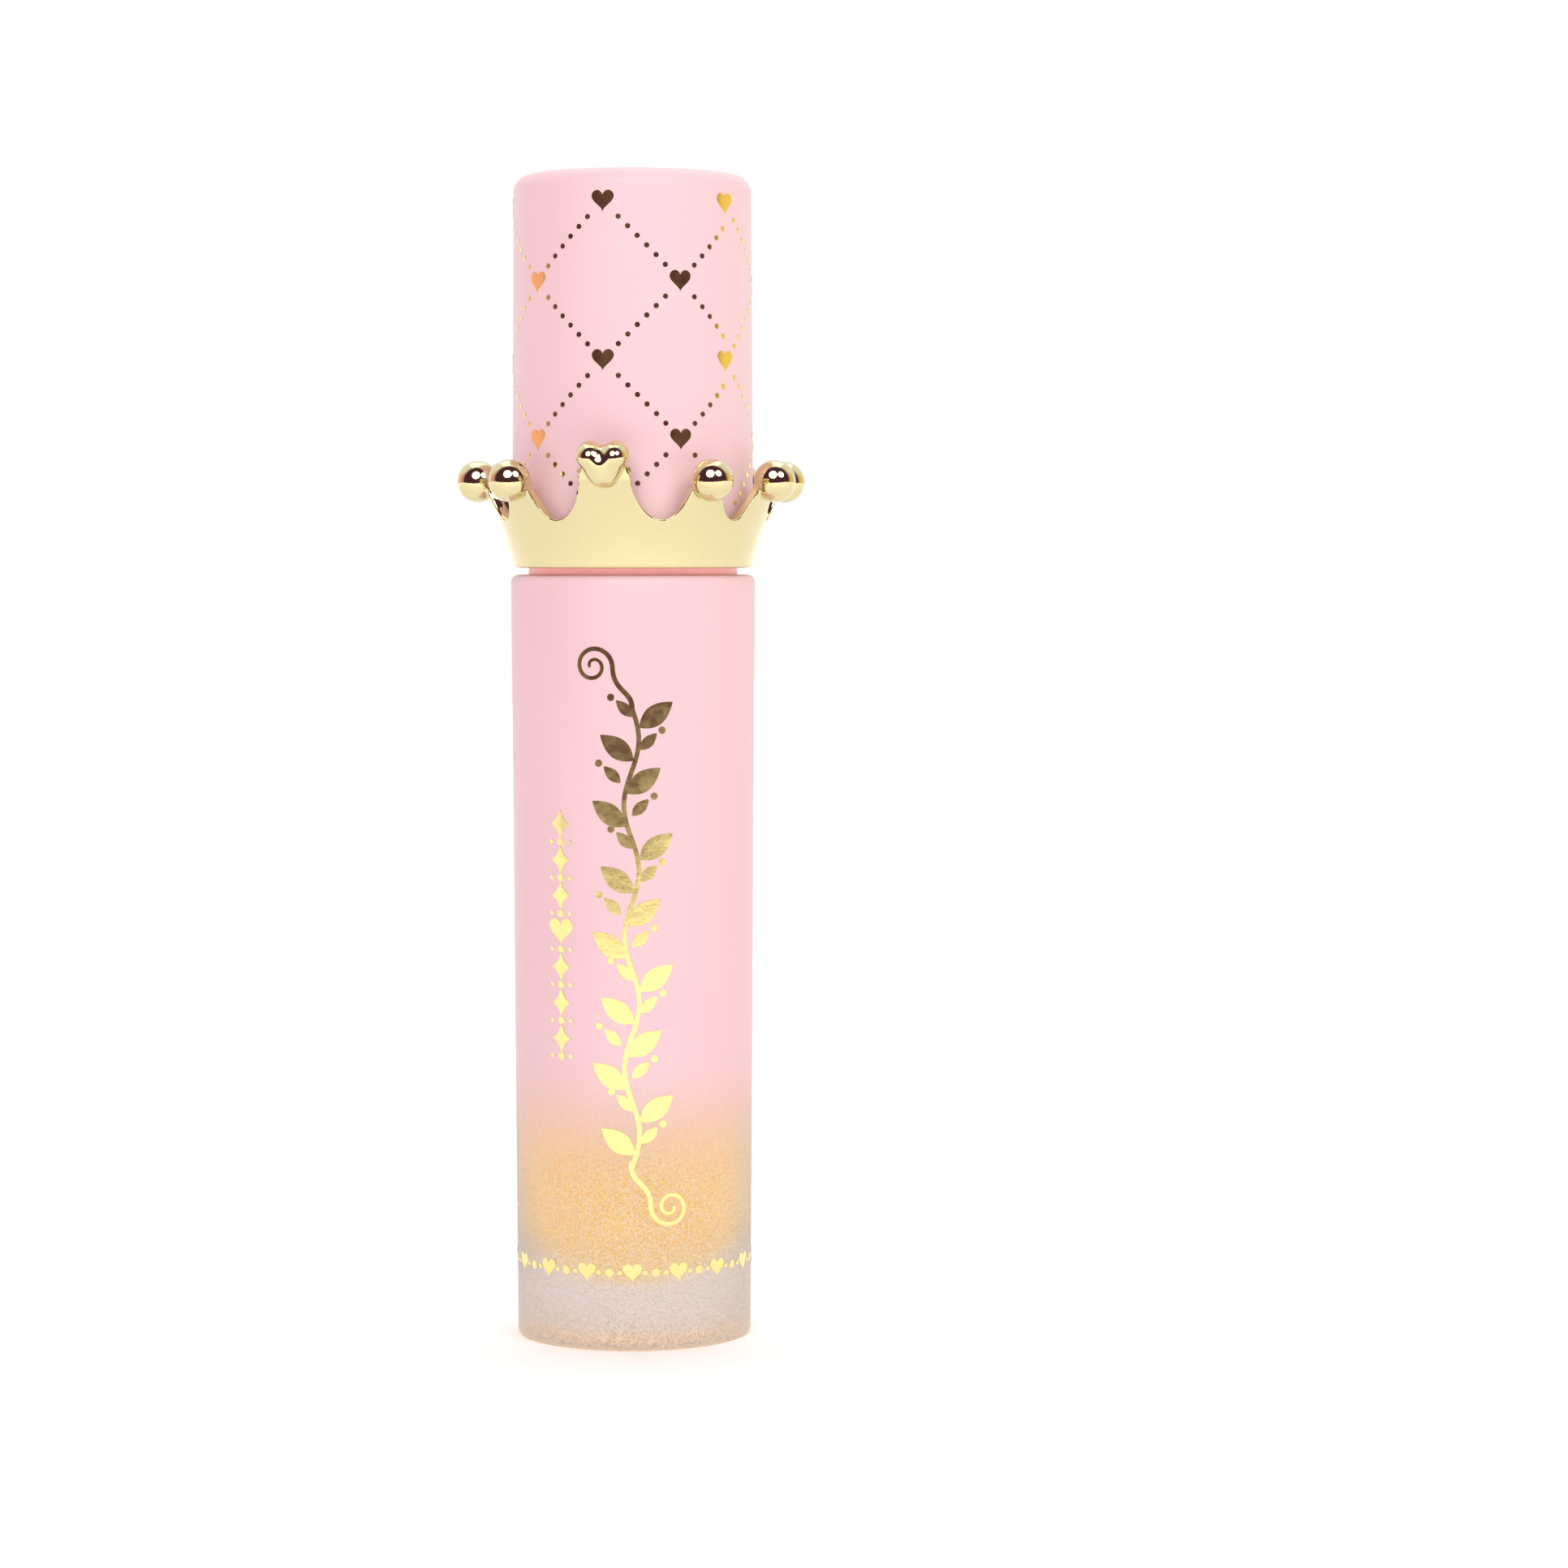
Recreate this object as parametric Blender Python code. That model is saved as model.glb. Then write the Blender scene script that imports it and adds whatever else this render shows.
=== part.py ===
"""Lip gloss tube with a crowned screw cap: frosted bottle, wiper, gloss, and a cap that carries the wand.

The tube stands closed on its base. The origin is the centre of the base, +Z runs up the tube's axis,
and the crown's heart faces -Y. All lengths are in metres.
"""

import math

import bmesh
import bpy
from mathutils import Vector

# Bottle: a thick-walled body, a collar that centres the cap's mouth, and a threaded neck.
BODY_HEIGHT = 0.0625
BODY_TOP_RADIUS = 0.0100
BODY_BASE_RADIUS = 0.0096
SHOULDER_FILLET = 0.0006
BASE_FILLET = 0.0004
COLLAR_RADIUS = 0.00855
COLLAR_HEIGHT = 0.0022
NECK_RADIUS = 0.0061
NECK_HEIGHT = 0.0116
NECK_BORE_RADIUS = 0.0047
CAVITY_RADIUS = 0.0062
CAVITY_FLOOR_Z = 0.0045
CAVITY_BOWL_DEPTH = 0.0050
CAVITY_TAPER_LENGTH = 0.0030
CAVITY_TAPER_DROP = 0.0019
BASE_RECESS_RADIUS = 0.0064
BASE_RECESS_DEPTH = 0.0006
BASE_RECESS_CHAMFER = 0.0003
GATE_RADIUS = 0.0009
GATE_HEIGHT = 0.0002
EDGE_CHAMFER = 0.0003

# Screw thread, the same helix on the neck and in the inner cap.
THREAD_PITCH = 0.0030
THREAD_TURNS = 1.75
THREAD_DEPTH = 0.00055
THREAD_ROOT_WIDTH = 0.0012
THREAD_CREST_WIDTH = 0.0005
THREAD_CREST_GAP = 0.0001
THREAD_LEAD_IN = math.radians(45)
THREAD_END_FADE = 0.1
THREAD_EMBED = 0.0003
THREAD_START_HEIGHT = 0.0022

# Fits between pieces.
SEAT_GAP = 0.00005
SLIDE_GAP = 0.0001

# Wiper: a soft insert pushed into the neck, with a lip that strips the rod.
WIPER_FLANGE_RADIUS = 0.0059
WIPER_FLANGE_THICKNESS = 0.0007
WIPER_SLEEVE_LENGTH = 0.0100
WIPER_WALL = 0.0007
WIPER_LIP_THICKNESS = 0.0005
WIPER_LIP_DROP = 0.0026
WIPER_LIP_GAP = 0.00006
WIPER_LIP_LAND = 0.0006
WIPER_MOUTH_CHAMFER = 0.0004
WIPER_BEAD_HEIGHT = 0.0002
WIPER_BEAD_DROP = 0.0030
WIPER_BEAD_HALF_WIDTH = 0.0005
WIPER_GROOVE_HALF_WIDTH = 0.0006

# Seal ring, a flat washer round the rod.
SEAL_THICKNESS = 0.0009
SEAL_RADIUS = 0.0064
SEAL_HOLE_GAP = 0.00015

# Cap: a painted shell over a threaded inner cap, with the crown round its foot.
CAP_GAP = 0.0006
CAP_HEIGHT = 0.0319
CAP_TOP_RADIUS = 0.0097
CAP_FOOT_RADIUS = 0.00985
CAP_TOP_FILLET = 0.0014
CAP_TOP_THICKNESS = 0.0015
CAP_CEILING_CHAMFER = 0.0005
CAP_BORE_RADIUS = 0.0084
SPIGOT_RADIUS = 0.0093
SPIGOT_START = 0.0020
SPIGOT_END = 0.0034
STOP_RIB_DEPTH = 0.0007
STOP_RIB_COUNT = 6
RIB_END_HEIGHT = 0.0001
INNER_CAP_FOOT = 0.0021
INNER_CAP_BORE_RADIUS = 0.00725
INNER_CAP_WALL = 0.0007
INNER_CAP_SLEEVE_LENGTH = 0.0145
INNER_CAP_ROOF = 0.0014
INNER_CAP_CHAMFER = 0.0002
GRIP_RIB_COUNT = 12
GRIP_RIB_LEAD_IN = 0.0006
GRIP_RIB_TOP_GAP = 0.0004
BOSS_RADIUS = 0.0039
BOSS_HEIGHT = 0.0088

# Crown: a flared ring whose rim closes the cap's foot, nine ball-tipped teeth and one heart-tipped tooth.
CROWN_RIM_RADIUS = 0.00992
CROWN_MOUTH_RADIUS = 0.00875
CROWN_FLARE_SLOPE = 0.2
CROWN_FLARE_CURVE = 24.5
CROWN_WALL = 0.0009
CROWN_RIM_CHAMFER = 0.0001
CROWN_BAND_OVERLAP = 0.0002
VALLEY_HEIGHT = 0.0039
BALL_COUNT = 9
BALL_RADIUS = 0.0017
BALL_HEIGHT = 0.0070
BALL_RING_RADIUS = 0.01267
HEART_TOOTH_ANGLE = math.radians(81)
VALLEY_HALF_ANGLE = math.radians(11.2)
VALLEY_POWER = 1 / 1.6
TOOTH_ROUND_HEIGHT = 0.0014
HEART_HEIGHT_ON_CROWN = 0.00842
HEART_TOOTH_TOP = 0.0088
HEART_WIDTH = 0.00425
HEART_TALL = 0.0037
HEART_DEPTH = 0.0032
HEART_RING_RADIUS = 0.01277

# Wand: a hollow-ended rod that snaps into the inner cap, and a flocked tip on a plug.
ROD_RADIUS = 0.00279
ROD_TIP_RADIUS = 0.00274
ROD_END_Z = 0.02505
ROD_SPIGOT_RADIUS = 0.00235
ROD_SPIGOT_LENGTH = 0.0086
ROD_BEAD_RADIUS = 0.00255
ROD_BEAD_DROP = 0.0016
ROD_BEAD_HALF_WIDTH = 0.0005
ROD_GROOVE_HALF_WIDTH = 0.0007
ROD_END_CHAMFER = 0.0002
ROD_TAPER_DROP = 0.0100
ROD_SOCKET_RADIUS = 0.00185
ROD_SOCKET_DEPTH = 0.0056
PLUG_LENGTH = 0.0052
TIP_LENGTH = 0.0169
TIP_MOST_SHRINK = 0.8
FLOCK_THICKNESS = 0.00055
FLOCK_MOUTH_RADIUS = 0.0021

# Flocked tip, from the rod's end downwards: share of its length, sideways lean, half width, half thickness.
TIP_STATIONS = (
    (0.000, 0.00000, 0.00276, 0.00270),
    (0.165, 0.00044, 0.00268, 0.00235),
    (0.300, 0.00052, 0.00297, 0.00232),
    (0.480, 0.00048, 0.00327, 0.00236),
    (0.690, 0.00020, 0.00352, 0.00232),
    (0.805, -0.00006, 0.00338, 0.00214),
    (0.900, -0.00036, 0.00286, 0.00180),
    (0.960, -0.00052, 0.00200, 0.00128),
    (0.990, -0.00050, 0.00105, 0.00068),
    (1.000, -0.00046, 0.00036, 0.00024),
)
GLOSS_LEVEL_Z = 0.0595
GLOSS_GAP = 0.0001
GLOSS_WAND_GAP = 0.00015

# How far a cutter runs past the piece that it cuts.
CUTTER_OVERSHOOT = 0.001

# Facets.
TURNED_STEPS = 48
SMALL_STEPS = 32
TIP_STEPS = 24
THREAD_STEPS_PER_TURN = 24

# Derived places.
COLLAR_TOP_Z = BODY_HEIGHT + COLLAR_HEIGHT
NECK_TOP_Z = BODY_HEIGHT + NECK_HEIGHT
CAP_FOOT_Z = BODY_HEIGHT + CAP_GAP
CAP_TOP_Z = CAP_FOOT_Z + CAP_HEIGHT
FLANGE_TOP_Z = NECK_TOP_Z + SEAT_GAP + WIPER_FLANGE_THICKNESS
SEAL_BASE_Z = FLANGE_TOP_Z + SLIDE_GAP
ROOF_Z = SEAL_BASE_Z + SEAL_THICKNESS + SLIDE_GAP
THREAD_START_Z = COLLAR_TOP_Z + THREAD_START_HEIGHT
CAVITY_TAPER_TOP_Z = BODY_HEIGHT - CAVITY_TAPER_DROP
WIPER_BEAD_Z = NECK_TOP_Z - WIPER_BEAD_DROP
TIP_TOP_Z = ROD_END_Z - SEAT_GAP
TIP_END_Z = ROD_END_Z - TIP_LENGTH
BALL_PITCH = (2 * math.pi - HEART_TOOTH_ANGLE) / (BALL_COUNT - 1)
FRONT = -math.pi / 2


def clear_scene():
    for obj in list(bpy.data.objects):
        bpy.data.objects.remove(obj)


def make_material(name, colour, roughness, metallic=0.0):
    material = bpy.data.materials.new(name)
    material.use_nodes = True
    shader = material.node_tree.nodes["Principled BSDF"]
    shader.inputs["Base Color"].default_value = (*colour, 1.0)
    shader.inputs["Roughness"].default_value = roughness
    shader.inputs["Metallic"].default_value = metallic
    material.diffuse_color = (*colour, 1.0)
    return material


def mesh_object(name, points, faces, material):
    mesh = bpy.data.meshes.new(name)
    mesh.from_pydata([tuple(p) for p in points], [], faces)
    mesh.validate()
    mesh.update()
    if material is not None:
        mesh.materials.append(material)
    mesh.shade_smooth()
    mesh.set_sharp_from_angle(angle=math.radians(35))
    obj = bpy.data.objects.new(name, mesh)
    bpy.context.scene.collection.objects.link(obj)
    return obj


def face_outwards(obj):
    mesh = bmesh.new()
    mesh.from_mesh(obj.data)
    bmesh.ops.recalc_face_normals(mesh, faces=mesh.faces)
    mesh.to_mesh(obj.data)
    mesh.free()


def helper(obj):
    """Marks an object that only cuts or joins, so that it isn't a piece itself."""
    obj.hide_render = True
    obj.display_type = "WIRE"
    return obj


def boolean(obj, other, operation):
    modifier = obj.modifiers.new(operation.lower(), "BOOLEAN")
    modifier.operation = operation
    modifier.object = helper(other)


def arc(centre_r, centre_z, radius_r, radius_z, start_deg, end_deg, steps):
    """Points (r, z) of an elliptical arc, both ends included."""
    angles = [math.radians(start_deg + (end_deg - start_deg) * i / steps) for i in range(steps + 1)]
    return [(centre_r + radius_r * math.cos(a), centre_z + radius_z * math.sin(a)) for a in angles]


def bead(radius, height, centre_z, half_width, direction):
    """Four points (r, z) of a ring that stands height proud of a wall, upwards (1) or downwards (-1)."""
    steps = ((0, -1.0), (height, -0.4), (height, 0.4), (0, 1.0))
    return [(radius + rise, centre_z + direction * share * half_width) for rise, share in steps]


def turned(name, outline, material, steps=TURNED_STEPS, ribs=None):
    """Solid of revolution about Z. The outline's points (r, z) run up the outer side and down the inner one.

    A point with r = 0 is a pole. ribs(index of outline point, index of step) adds to the radius.
    """
    points, rings = [], []
    for i, (r, z) in enumerate(outline):
        if r == 0:
            rings.append([len(points)] * steps)
            points.append((0.0, 0.0, z))
            continue
        rings.append(list(range(len(points), len(points) + steps)))
        for j in range(steps):
            a = 2 * math.pi * j / steps
            radius = r + (ribs(i, j) if ribs else 0.0)
            points.append((radius * math.cos(a), radius * math.sin(a), z))
    closed = outline[0][0] != 0
    faces = []
    for i in range(len(rings) if closed else len(rings) - 1):
        low, high = rings[i], rings[(i + 1) % len(rings)]
        for j in range(steps):
            k = (j + 1) % steps
            corners = [low[j], low[k], high[k], high[j]]
            face = [c for n, c in enumerate(corners) if c not in corners[:n]]
            if len(face) > 2:
                faces.append(face)
    return mesh_object(name, points, faces, material)


def lofted(name, sections, material, steps=TIP_STEPS):
    """Solid through elliptical sections (centre x, z, half width, half thickness), from the bottom up."""
    points, faces = [], []
    for x, z, wide, thick in sections:
        for j in range(steps):
            a = 2 * math.pi * j / steps
            points.append((x + wide * math.cos(a), thick * math.sin(a), z))
    for i in range(len(sections) - 1):
        for j in range(steps):
            k = (j + 1) % steps
            low, high = i * steps, (i + 1) * steps
            faces.append((low + j, low + k, high + k, high + j))
    top = (len(sections) - 1) * steps
    faces.append(tuple(reversed(range(steps))))
    faces.append(tuple(range(top, top + steps)))
    return mesh_object(name, points, faces, material)


def thread_ridge(name, root_radius, crest_radius, start_z):
    """One helical ridge from root to crest radius, fading in and out, to be joined to a neck or a bore."""
    steps = round(THREAD_TURNS * THREAD_STEPS_PER_TURN)
    turn = 2 * math.pi * THREAD_TURNS
    points, faces = [], []
    for i in range(steps + 1):
        a = turn * i / steps
        z = start_z + THREAD_PITCH * a / (2 * math.pi)
        fade = max(THREAD_END_FADE, min(1.0, a / THREAD_LEAD_IN, (turn - a) / THREAD_LEAD_IN))
        crest = root_radius + (crest_radius - root_radius) * fade
        for r, dz in (
            (root_radius, -THREAD_ROOT_WIDTH / 2),
            (crest, -THREAD_CREST_WIDTH / 2),
            (crest, THREAD_CREST_WIDTH / 2),
            (root_radius, THREAD_ROOT_WIDTH / 2),
        ):
            points.append((r * math.cos(a), r * math.sin(a), z + dz))
    for i in range(steps):
        for j in range(4):
            k = (j + 1) % 4
            faces.append((4 * i + j, 4 * i + 4 + j, 4 * i + 4 + k, 4 * i + k))
    faces.append((0, 1, 2, 3))
    faces.append(tuple(4 * steps + j for j in (3, 2, 1, 0)))
    ridge = mesh_object(name, points, faces, None)
    face_outwards(ridge)
    return ridge


def cavity_outline(shrink, top_z):
    """Wall points (r, z) of the bottle's cavity from the axis up, drawn in by shrink and cut at top_z."""
    radius = CAVITY_RADIUS - shrink
    bowl_z = CAVITY_FLOOR_Z + CAVITY_BOWL_DEPTH
    wall = arc(0.0, bowl_z, radius, CAVITY_BOWL_DEPTH - shrink, -90, 0, 7)[1:]
    taper_z = CAVITY_TAPER_TOP_Z - CAVITY_TAPER_LENGTH
    slope = (CAVITY_RADIUS - NECK_BORE_RADIUS) / CAVITY_TAPER_LENGTH
    end_z = min(top_z, CAVITY_TAPER_TOP_Z)
    return [
        (0.0, CAVITY_FLOOR_Z + shrink),
        *wall,
        (radius, taper_z),
        (radius - slope * (end_z - taper_z), end_z),
    ]


def make_bottle(material):
    base, top, chamfer = BASE_FILLET, SHOULDER_FILLET, EDGE_CHAMFER
    groove = bead(NECK_BORE_RADIUS, WIPER_BEAD_HEIGHT, WIPER_BEAD_Z, WIPER_GROOVE_HALF_WIDTH, -1)
    outline = [
        (0.0, BASE_RECESS_DEPTH - GATE_HEIGHT),
        (GATE_RADIUS / 2, BASE_RECESS_DEPTH - GATE_HEIGHT),
        (GATE_RADIUS, BASE_RECESS_DEPTH),
        (BASE_RECESS_RADIUS, BASE_RECESS_DEPTH),
        (BASE_RECESS_RADIUS + BASE_RECESS_CHAMFER, 0.0),
        *arc(BODY_BASE_RADIUS - base, base, base, base, -90, 0, 3),
        *arc(BODY_TOP_RADIUS - top, BODY_HEIGHT - top, top, top, 0, 90, 4),
        (COLLAR_RADIUS, BODY_HEIGHT),
        (COLLAR_RADIUS, COLLAR_TOP_Z - chamfer),
        (COLLAR_RADIUS - chamfer, COLLAR_TOP_Z),
        (NECK_RADIUS, COLLAR_TOP_Z),
        (NECK_RADIUS, NECK_TOP_Z - chamfer),
        (NECK_RADIUS - chamfer, NECK_TOP_Z),
        (NECK_BORE_RADIUS, NECK_TOP_Z),
        *groove,
        *reversed(cavity_outline(0.0, NECK_TOP_Z)),
    ]
    bottle = turned("bottle", outline, material)
    root, crest = NECK_RADIUS - THREAD_EMBED, NECK_RADIUS + THREAD_DEPTH
    ridge = thread_ridge("neck_thread", root, crest, THREAD_START_Z)
    boolean(bottle, ridge, "UNION")


def make_wiper(material):
    outer = NECK_BORE_RADIUS - SEAT_GAP
    inner = outer - WIPER_WALL
    flange_low = NECK_TOP_Z + SEAT_GAP
    sleeve_low = flange_low - WIPER_SLEEVE_LENGTH
    lip_z = sleeve_low - WIPER_LIP_DROP
    lip_radius = ROD_RADIUS + WIPER_LIP_GAP
    outline = [
        (lip_radius, lip_z),
        (lip_radius + WIPER_LIP_THICKNESS, lip_z),
        (outer - EDGE_CHAMFER, sleeve_low),
        (outer, sleeve_low + EDGE_CHAMFER),
        *bead(outer, WIPER_BEAD_HEIGHT - SEAT_GAP, WIPER_BEAD_Z, WIPER_BEAD_HALF_WIDTH, 1),
        (outer, flange_low),
        (WIPER_FLANGE_RADIUS, flange_low),
        (WIPER_FLANGE_RADIUS, FLANGE_TOP_Z),
        (inner + WIPER_MOUTH_CHAMFER, FLANGE_TOP_Z),
        (inner, FLANGE_TOP_Z - WIPER_MOUTH_CHAMFER),
        (inner, sleeve_low + WIPER_MOUTH_CHAMFER),
        (lip_radius, lip_z + WIPER_LIP_LAND),
    ]
    turned("wiper", outline, material, SMALL_STEPS)


def make_seal_ring(material):
    hole = ROD_RADIUS + SEAL_HOLE_GAP
    low, high = SEAL_BASE_Z, SEAL_BASE_Z + SEAL_THICKNESS
    outline = [(hole, low), (SEAL_RADIUS, low), (SEAL_RADIUS, high), (hole, high)]
    turned("seal_ring", outline, material, SMALL_STEPS)


def make_inner_cap(material):
    bore = INNER_CAP_BORE_RADIUS
    wall = bore + INNER_CAP_WALL
    foot = CAP_FOOT_Z + INNER_CAP_FOOT
    sleeve_top = foot + INNER_CAP_SLEEVE_LENGTH
    roof_top = ROOF_Z + INNER_CAP_ROOF
    boss_top = roof_top + BOSS_HEIGHT
    socket = ROD_SPIGOT_RADIUS + SEAT_GAP
    chamfer = INNER_CAP_CHAMFER
    groove_z = ROOF_Z + ROD_SPIGOT_LENGTH - ROD_BEAD_DROP
    groove = bead(socket, ROD_BEAD_RADIUS - ROD_SPIGOT_RADIUS, groove_z, ROD_GROOVE_HALF_WIDTH, -1)
    outline = [
        (bore + chamfer, foot),
        (wall, foot),
        (wall, foot + GRIP_RIB_LEAD_IN),
        (wall, sleeve_top - GRIP_RIB_TOP_GAP),
        (wall - chamfer, sleeve_top),
        (bore, sleeve_top),
        (bore, roof_top),
        (BOSS_RADIUS, roof_top),
        (BOSS_RADIUS, boss_top),
        (socket, boss_top),
        *groove,
        (socket, ROOF_Z),
        (bore, ROOF_Z),
        (bore, foot + chamfer),
    ]
    rib_rise = CAP_BORE_RADIUS - SEAT_GAP - wall
    rib_rings = (2, 3)
    steps_per_rib = TURNED_STEPS // GRIP_RIB_COUNT

    def grip_rib(ring, step):
        return rib_rise if ring in rib_rings and step % steps_per_rib == 0 else 0.0

    inner_cap = turned("inner_cap", outline, material, TURNED_STEPS, grip_rib)
    crest = NECK_RADIUS + THREAD_DEPTH + THREAD_CREST_GAP
    ridge = thread_ridge("cap_thread", bore + THREAD_EMBED, crest, THREAD_START_Z + THREAD_PITCH / 2)
    boolean(inner_cap, ridge, "UNION")


def make_cap_shell(material):
    fillet, foot, bore = CAP_TOP_FILLET, CAP_FOOT_Z, CAP_BORE_RADIUS
    stop_z = foot + INNER_CAP_FOOT + INNER_CAP_SLEEVE_LENGTH + SLIDE_GAP
    ceiling_z = CAP_TOP_Z - CAP_TOP_THICKNESS
    outline = [
        (0.0, ceiling_z),
        (bore - CAP_CEILING_CHAMFER, ceiling_z),
        (bore, ceiling_z - CAP_CEILING_CHAMFER),
        (bore, stop_z),
        (bore, stop_z - RIB_END_HEIGHT),
        (bore, foot + SPIGOT_START),
        (SPIGOT_RADIUS, foot + SPIGOT_START),
        (SPIGOT_RADIUS, foot + SPIGOT_END),
        (CAP_FOOT_RADIUS, foot + SPIGOT_END),
        *arc(CAP_TOP_RADIUS - fillet, CAP_TOP_Z - fillet, fillet, fillet, 0, 90, 6),
        (0.0, CAP_TOP_Z),
    ]
    rib_rings = (1, 2, 3)
    steps_per_rib = TURNED_STEPS // STOP_RIB_COUNT

    def stop_rib(ring, step):
        return -STOP_RIB_DEPTH if ring in rib_rings and step % steps_per_rib == 0 else 0.0

    turned("cap_shell", outline, material, TURNED_STEPS, stop_rib)


def crown_radius(height):
    """Outer radius of the flared crown at a height above its rim; the flare stops growing at the balls."""
    return CROWN_RIM_RADIUS + CROWN_FLARE_SLOPE * height + CROWN_FLARE_CURVE * min(height, BALL_HEIGHT) ** 2


def tooth_tips():
    """(angle from the front, True for the heart) of each tooth, anticlockwise from the heart."""
    balls = [HEART_TOOTH_ANGLE / 2 + BALL_PITCH * i for i in range(BALL_COUNT)]
    return [(0.0, True)] + [(a, False) for a in balls]


def tooth_side(shares):
    """Points (share of the valley's half angle, height) from a valley's floor up to a tooth's side."""
    rise = BALL_HEIGHT - VALLEY_HEIGHT
    return [(s, VALLEY_HEIGHT + rise * (1 - (1 - s * s) ** VALLEY_POWER)) for s in shares]


def crown_contour():
    """Points (foot angle, angle, height) of the crown's upper edge, from the valley before the heart.

    The foot angles spread each tooth's points evenly over its share of the ring.
    """
    side = tooth_side([0.0, 0.4, 0.72, 0.92, 1.0])
    contour = []
    for tip, heart in tooth_tips():
        half_tooth = (HEART_TOOTH_ANGLE - BALL_PITCH) / 2 if heart else BALL_PITCH / 2
        top = HEART_TOOTH_TOP if heart else BALL_HEIGHT + TOOTH_ROUND_HEIGHT
        flank = half_tooth - VALLEY_HALF_ANGLE
        rise = [(-half_tooth + VALLEY_HALF_ANGLE * s, z) for s, z in side]
        rise += [(-flank * math.cos(a), BALL_HEIGHT + (top - BALL_HEIGHT) * math.sin(a)) for a in (0.6, 1.1)]
        tooth = rise + [(0.0, top)] + [(-a, z) for a, z in reversed(rise[1:])]
        for i, (a, z) in enumerate(tooth):
            contour.append((tip - half_tooth + 2 * half_tooth * i / len(tooth), tip + a, z))
    return contour


def make_crown(material):
    contour = crown_contour()
    columns = len(contour)
    lift_rows = (0.0, 0.5, 1.0)
    inner_band = CAP_FOOT_RADIUS + SLIDE_GAP
    seat = SPIGOT_RADIUS + SEAT_GAP
    chamfer = CROWN_RIM_CHAMFER
    points = []
    for foot_angle, angle, top in contour:
        band = [(CROWN_RIM_RADIUS - chamfer, 0.0, 0.0), (CROWN_RIM_RADIUS, chamfer, 0.0)]
        band.append((crown_radius(SPIGOT_START), SPIGOT_START, 0.0))
        low = SPIGOT_END - CROWN_BAND_OVERLAP
        outer = [(low + (top - low) * s, s) for s in lift_rows]
        column = band + [(crown_radius(z), z, s) for z, s in outer]
        column += [(max(crown_radius(z) - CROWN_WALL, inner_band), z, s) for z, s in reversed(outer[1:])]
        column += [
            (inner_band, SPIGOT_END - SLIDE_GAP, 0.0),
            (seat, SPIGOT_END - SLIDE_GAP, 0.0),
            (seat, SPIGOT_START - SEAT_GAP, 0.0),
            (CROWN_MOUTH_RADIUS, SPIGOT_START - SEAT_GAP, 0.0),
            (CROWN_MOUTH_RADIUS, chamfer, 0.0),
            (CROWN_MOUTH_RADIUS + chamfer, 0.0, 0.0),
        ]
        for r, z, lean in column:
            a = FRONT + foot_angle + (angle - foot_angle) * lean
            points.append((r * math.cos(a), r * math.sin(a), CAP_FOOT_Z + z))
    rows = len(points) // columns
    faces = []
    for n in range(columns):
        here, there = n * rows, (n + 1) % columns * rows
        for i in range(rows):
            k = (i + 1) % rows
            faces.append((here + i, there + i, there + k, here + k))
    crown = mesh_object("crown", points, faces, material)
    for number, (angle, heart) in enumerate(tooth_tips()):
        tip = make_heart() if heart else make_ball(number, angle)
        boolean(crown, tip, "UNION")


def make_ball(number, angle):
    outline = arc(0.0, 0.0, BALL_RADIUS, BALL_RADIUS, -90, 90, 8)
    outline[0], outline[-1] = (0.0, -BALL_RADIUS), (0.0, BALL_RADIUS)
    ball = turned(f"crown_ball_{number}", outline, None, 16)
    a = FRONT + angle
    ball.location = Vector(
        (BALL_RING_RADIUS * math.cos(a), BALL_RING_RADIUS * math.sin(a), CAP_FOOT_Z + BALL_HEIGHT)
    )
    return ball


def heart_outline(t):
    """Point (x, z) of a plump heart, 1 wide and 1 tall, at parameter t."""
    x = 0.49 * math.sin(t) - 0.055 * math.sin(2 * t)
    z = 1.9 * math.cos(t) - 0.6 * math.cos(2 * t) - 0.18 * math.cos(3 * t)
    return x, (z + 0.42) / 3.8


def make_heart():
    """Puffed heart that faces -Y, its outline shrinking and turning towards the front and back poles."""
    round_steps, layers = 24, 8
    points, faces = [], []
    for i in range(1, layers):
        a = math.pi * i / layers
        share, depth = math.sin(a), -math.cos(a) * HEART_DEPTH / 2
        for j in range(round_steps):
            t = 2 * math.pi * j / round_steps
            x, z = heart_outline(t)
            x += (1 - share) * (0.4 * math.sin(t) - x)
            z += (1 - share) * (0.4 * math.cos(t) - z)
            points.append((share * x * HEART_WIDTH, depth, share * z * HEART_TALL))
    front, back = len(points), len(points) + 1
    points += [(0.0, -HEART_DEPTH / 2, 0.0), (0.0, HEART_DEPTH / 2, 0.0)]
    last = (layers - 2) * round_steps
    for j in range(round_steps):
        k = (j + 1) % round_steps
        faces += [(front, k, j), (back, last + j, last + k)]
        for i in range(layers - 2):
            low = i * round_steps
            faces.append((low + j, low + k, low + round_steps + k, low + round_steps + j))
    heart = mesh_object("crown_heart", points, faces, None)
    face_outwards(heart)
    heart.location = (0.0, -HEART_RING_RADIUS, CAP_FOOT_Z + HEART_HEIGHT_ON_CROWN)
    return heart


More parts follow.
